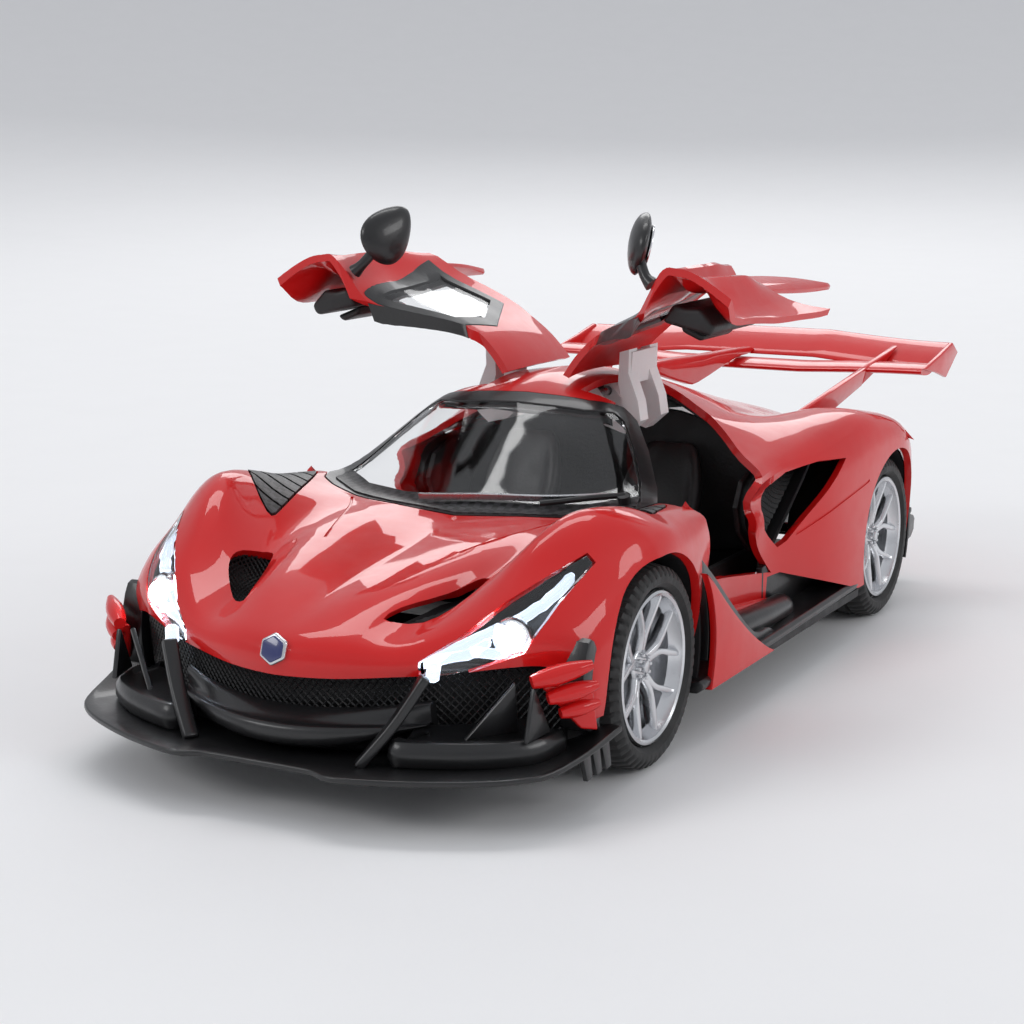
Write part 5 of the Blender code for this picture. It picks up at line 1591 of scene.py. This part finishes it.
class CAR_OT_wing(bpy.types.Operator):
    """Build the two-part rear wing, its end plates, struts and the centre fin"""

    bl_idname = "car.wing"
    bl_label = "Wing"

    def execute(self, context):
        upper = self.element("wing_upper", [(86.6, 48.3), (87.6, 47.7), (92, 49.2), (97.9, 51.9),
                                            (97.5, 52.6), (91.4, 50.9)], -1.5)
        lower = self.element("wing_lower", [(76.4, 46.6), (77.2, 45.6), (82, 45.2), (86.2, 46.2),
                                            (85.6, 47.1), (81, 47.5)], 0.9)
        plates = []
        for side, label in SIDES:
            kite = [(76.8, 47.8), (88, 49.7), (96.4, 51.4), (100.7, 48.9), (92.3, 44.3), (86, 46)]
            plates.append(rounded(side_prism("plate", kite, side, 41.9, 43.0), 0.35, 3))
            plates.append(rounded(self.fin([(29.9, 76.2, 47.5), (29.0, 76.0, 43.8)],
                                           [(31.6, 92, 50.6), (30.6, 87.4, 47.8)], side), 0.3, 3))
        as_paint(joined("wing_blades", upper, lower, *plates), "rear_wing", smooth=40)
        for side, label in SIDES:
            strut = self.fin([(26.0, 47, 41.4), (25.4, 65, 38.6)], [(29.9, 76.0, 47.5), (29.0, 76.0, 43.6)],
                             side)
            as_paint(rounded(strut, 0.35, 3), f"{label}_wing_strut")
        outline = curved([(33, 50.2), (36, 51.5), (60, 50.4), (85.4, 49.4), (85.2, 48.0), (76.0, 47.7),
                          (56, 44.9), (50, 45.5), (40, 47.9)], 3)
        fin = rounded(prism("spine_fin", outline, "X", -1.1, 1.1), 0.4, 3, 40)
        as_paint(fin, "centre_fin", smooth=40)
        return {"FINISHED"}

    def element(self, name, section, rise):
        """A blade across the car that rises or falls towards its ends."""
        rings = []
        for step in range(41):
            x = -WING_HALF_SPAN + 2 * WING_HALF_SPAN * step / 40
            share = max(0.0, abs(x) - WING_FLAT_HALF) / WING_RISE_LENGTH
            lift = rise * math.sin(share * math.pi / 2)
            rings.append([at(x, y, z + lift) for y, z in curved(section, 4)])
        return loft(name, rings)

    def fin(self, foot, head, side):
        """A flat fin between two edges, each given by its two end points."""
        rings = []
        for offset in (-0.75, 0.75):
            rings.append([at(side * (x + offset), y, z) for x, y, z in (*foot, *head[::-1])])
        return loft("strut", rings)


class CAR_OT_underside(bpy.types.Operator):
    """Give the CAD floor, tub, axles, motor and pins their finishes"""

    bl_idname = "car.underside"
    bl_label = "Underside"

    def execute(self, context):
        for node in ("chassis_plate", "battery_cover", "front_axle_cradle", "pullback_motor"):
            repaint(node, black_floor)
        repaint("interior_tub", cabin_black)
        for node in ("front_axle", "rear_axle", "left_hinge_pin", "right_hinge_pin"):
            repaint(node, bright_steel)
        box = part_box("battery_cover")
        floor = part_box("chassis_plate")[0].z
        screws = []
        for x, y in ((-22, -30), (22, -30), (-22, 30), (22, 30), (0, 20)):
            spot = at(x, y, 0)
            spot.z = floor + 0.15 * MM
            screws.append(rounded(rod("screw", spot, (0, 0, 1), 1.5, 0.7, 24), 0.2))
        dressed(joined("floor_screws", *screws), "car", "steel", bright_steel)
        ribs = []
        for step in range(5):
            spot = Vector((0, box[0].y + (box[1].y - box[0].y) * (0.25 + 0.125 * step), box[0].z - 0.05 * MM))
            line = [spot - Vector((8 * MM, 0, 0)), spot + Vector((8 * MM, 0, 0))]
            ribs.append(tube("rib", line, 0.45, 10))
        dressed(joined("cover_grips", *ribs), "car", "floor_black", black_floor)
        return {"FINISHED"}


# The floor's flat part, the wall's curve, and the room's light, in metres, degrees and watts
FLOOR_RADIUS, WALL_RADIUS, WALL_ANGLE = 1.0, 3.0, 60
ROOM_COLOUR, ROOM_STRENGTH = (0.93, 0.95, 1.0, 1), 0.58
SOFT_BOXES = (
    ("top_box", (-0.25, 0.45, 1.45), (1.1, 0.35), 5.5),
    ("front_box", (-0.75, -0.95, 0.75), (0.7, 0.35), 3.4),
    ("side_box", (1.15, 0.10, 0.60), (0.9, 0.3), 3.4),
    ("rear_box", (-0.5, 1.2, 0.7), (0.9, 0.4), 3.0),
)
CAMERA_FROM_MIDDLE = Vector((0.167475, -0.342269, 0.101984))
CAMERA_TILT, CAMERA_TURN = 78.88, 27.83
CAMERA_LENS, CAMERA_SENSOR = 73.29, 36.0


class CAR_OT_stage(bpy.types.Operator):
    """Set the pale floor, the soft lights and the camera"""

    bl_idname = "car.stage"
    bl_label = "Stage"

    def execute(self, context):
        self.backdrop()
        self.lights()
        self.camera(context.scene)
        return {"FINISHED"}

    def backdrop(self):
        """A round pale floor that curves up into a wall on every side."""
        profile = [(0.0, 0.0), (FLOOR_RADIUS / 2, 0.0), (FLOOR_RADIUS, 0.0)]
        for step in range(1, 17):
            angle = math.radians(WALL_ANGLE * step / 16)
            profile.append((FLOOR_RADIUS + WALL_RADIUS * math.sin(angle),
                            WALL_RADIUS * (1 - math.cos(angle))))
        steps = 72
        points = [Vector((0, 0, 0))]
        faces = []
        for r, z in profile[1:]:
            for step in range(steps):
                a = 2 * math.pi * step / steps
                points.append(Vector((r * math.cos(a), r * math.sin(a), z)))
        for step in range(steps):
            following = (step + 1) % steps
            faces.append((0, 1 + step, 1 + following))
            for level in range(len(profile) - 2):
                a, b = 1 + level * steps, 1 + (level + 1) * steps
                faces.append((a + step, b + step, b + following, a + following))
        floor = mesh_of("stage_floor", points, faces)
        only(floor)
        bpy.ops.object.shade_smooth()
        floor.data.materials.append(finish(stage_finish))

    def lights(self):
        world = bpy.data.worlds.new("soft_room")
        world.use_nodes = True
        background = world.node_tree.nodes["Background"]
        background.inputs["Color"].default_value = ROOM_COLOUR
        background.inputs["Strength"].default_value = ROOM_STRENGTH
        bpy.context.scene.world = world
        bpy.context.scene.view_settings.view_transform = "Standard"
        aim = at(0, 0, 22)
        for name, place, size, power in SOFT_BOXES:
            lamp = bpy.data.lights.new(name, "AREA")
            lamp.shape = "RECTANGLE"
            lamp.size, lamp.size_y = size
            lamp.energy = power
            made = bpy.data.objects.new(name, lamp)
            made.location = place
            made.rotation_euler = (aim - Vector(place)).to_track_quat("-Z", "Y").to_euler()
            bpy.context.scene.collection.objects.link(made)

    def camera(self, scene):
        lens = bpy.data.cameras.new("camera")
        lens.lens = CAMERA_LENS
        lens.sensor_width = CAMERA_SENSOR
        lens.clip_start = 0.01
        made = bpy.data.objects.new("camera", lens)
        made.location = CAMERA_FROM_MIDDLE + Vector((0, MIDPOINT_Y, 0))
        made.rotation_euler = (math.radians(CAMERA_TILT), 0.0, math.radians(CAMERA_TURN))
        scene.collection.objects.link(made)
        scene.camera = made


class CAR_PT_panel(bpy.types.Panel):
    """Lists the car's pieces in the order in which they are built"""

    bl_idname = "CAR_PT_panel"
    bl_label = "Collector Car"
    bl_space_type = "VIEW_3D"
    bl_region_type = "UI"
    bl_category = "Car"

    def draw(self, context):
        for operator in OPERATORS:
            self.layout.operator(operator.bl_idname)
        for group in (context.scene.car_colours, context.scene.car_sizes):
            for name in group.__annotations__:
                self.layout.prop(group, name)


OPERATORS = (CAR_OT_stage, CAR_OT_body, CAR_OT_screen, CAR_OT_nose, CAR_OT_lamps, CAR_OT_flanks,
             CAR_OT_wheels, CAR_OT_cabin, CAR_OT_doors, CAR_OT_tail, CAR_OT_wing, CAR_OT_underside)
CLASSES = (CarColours, CarSizes, *OPERATORS, CAR_PT_panel)


def register():
    for made in CLASSES:
        bpy.utils.register_class(made)
    bpy.types.Scene.car_colours = bpy.props.PointerProperty(type=CarColours)
    bpy.types.Scene.car_sizes = bpy.props.PointerProperty(type=CarSizes)


def unregister():
    del bpy.types.Scene.car_sizes
    del bpy.types.Scene.car_colours
    for made in reversed(CLASSES):
        bpy.utils.unregister_class(made)


def main():
    register()
    for operator in OPERATORS:
        group, name = operator.bl_idname.split(".")
        getattr(getattr(bpy.ops, group), name)()


if __name__ == "__main__":
    main()
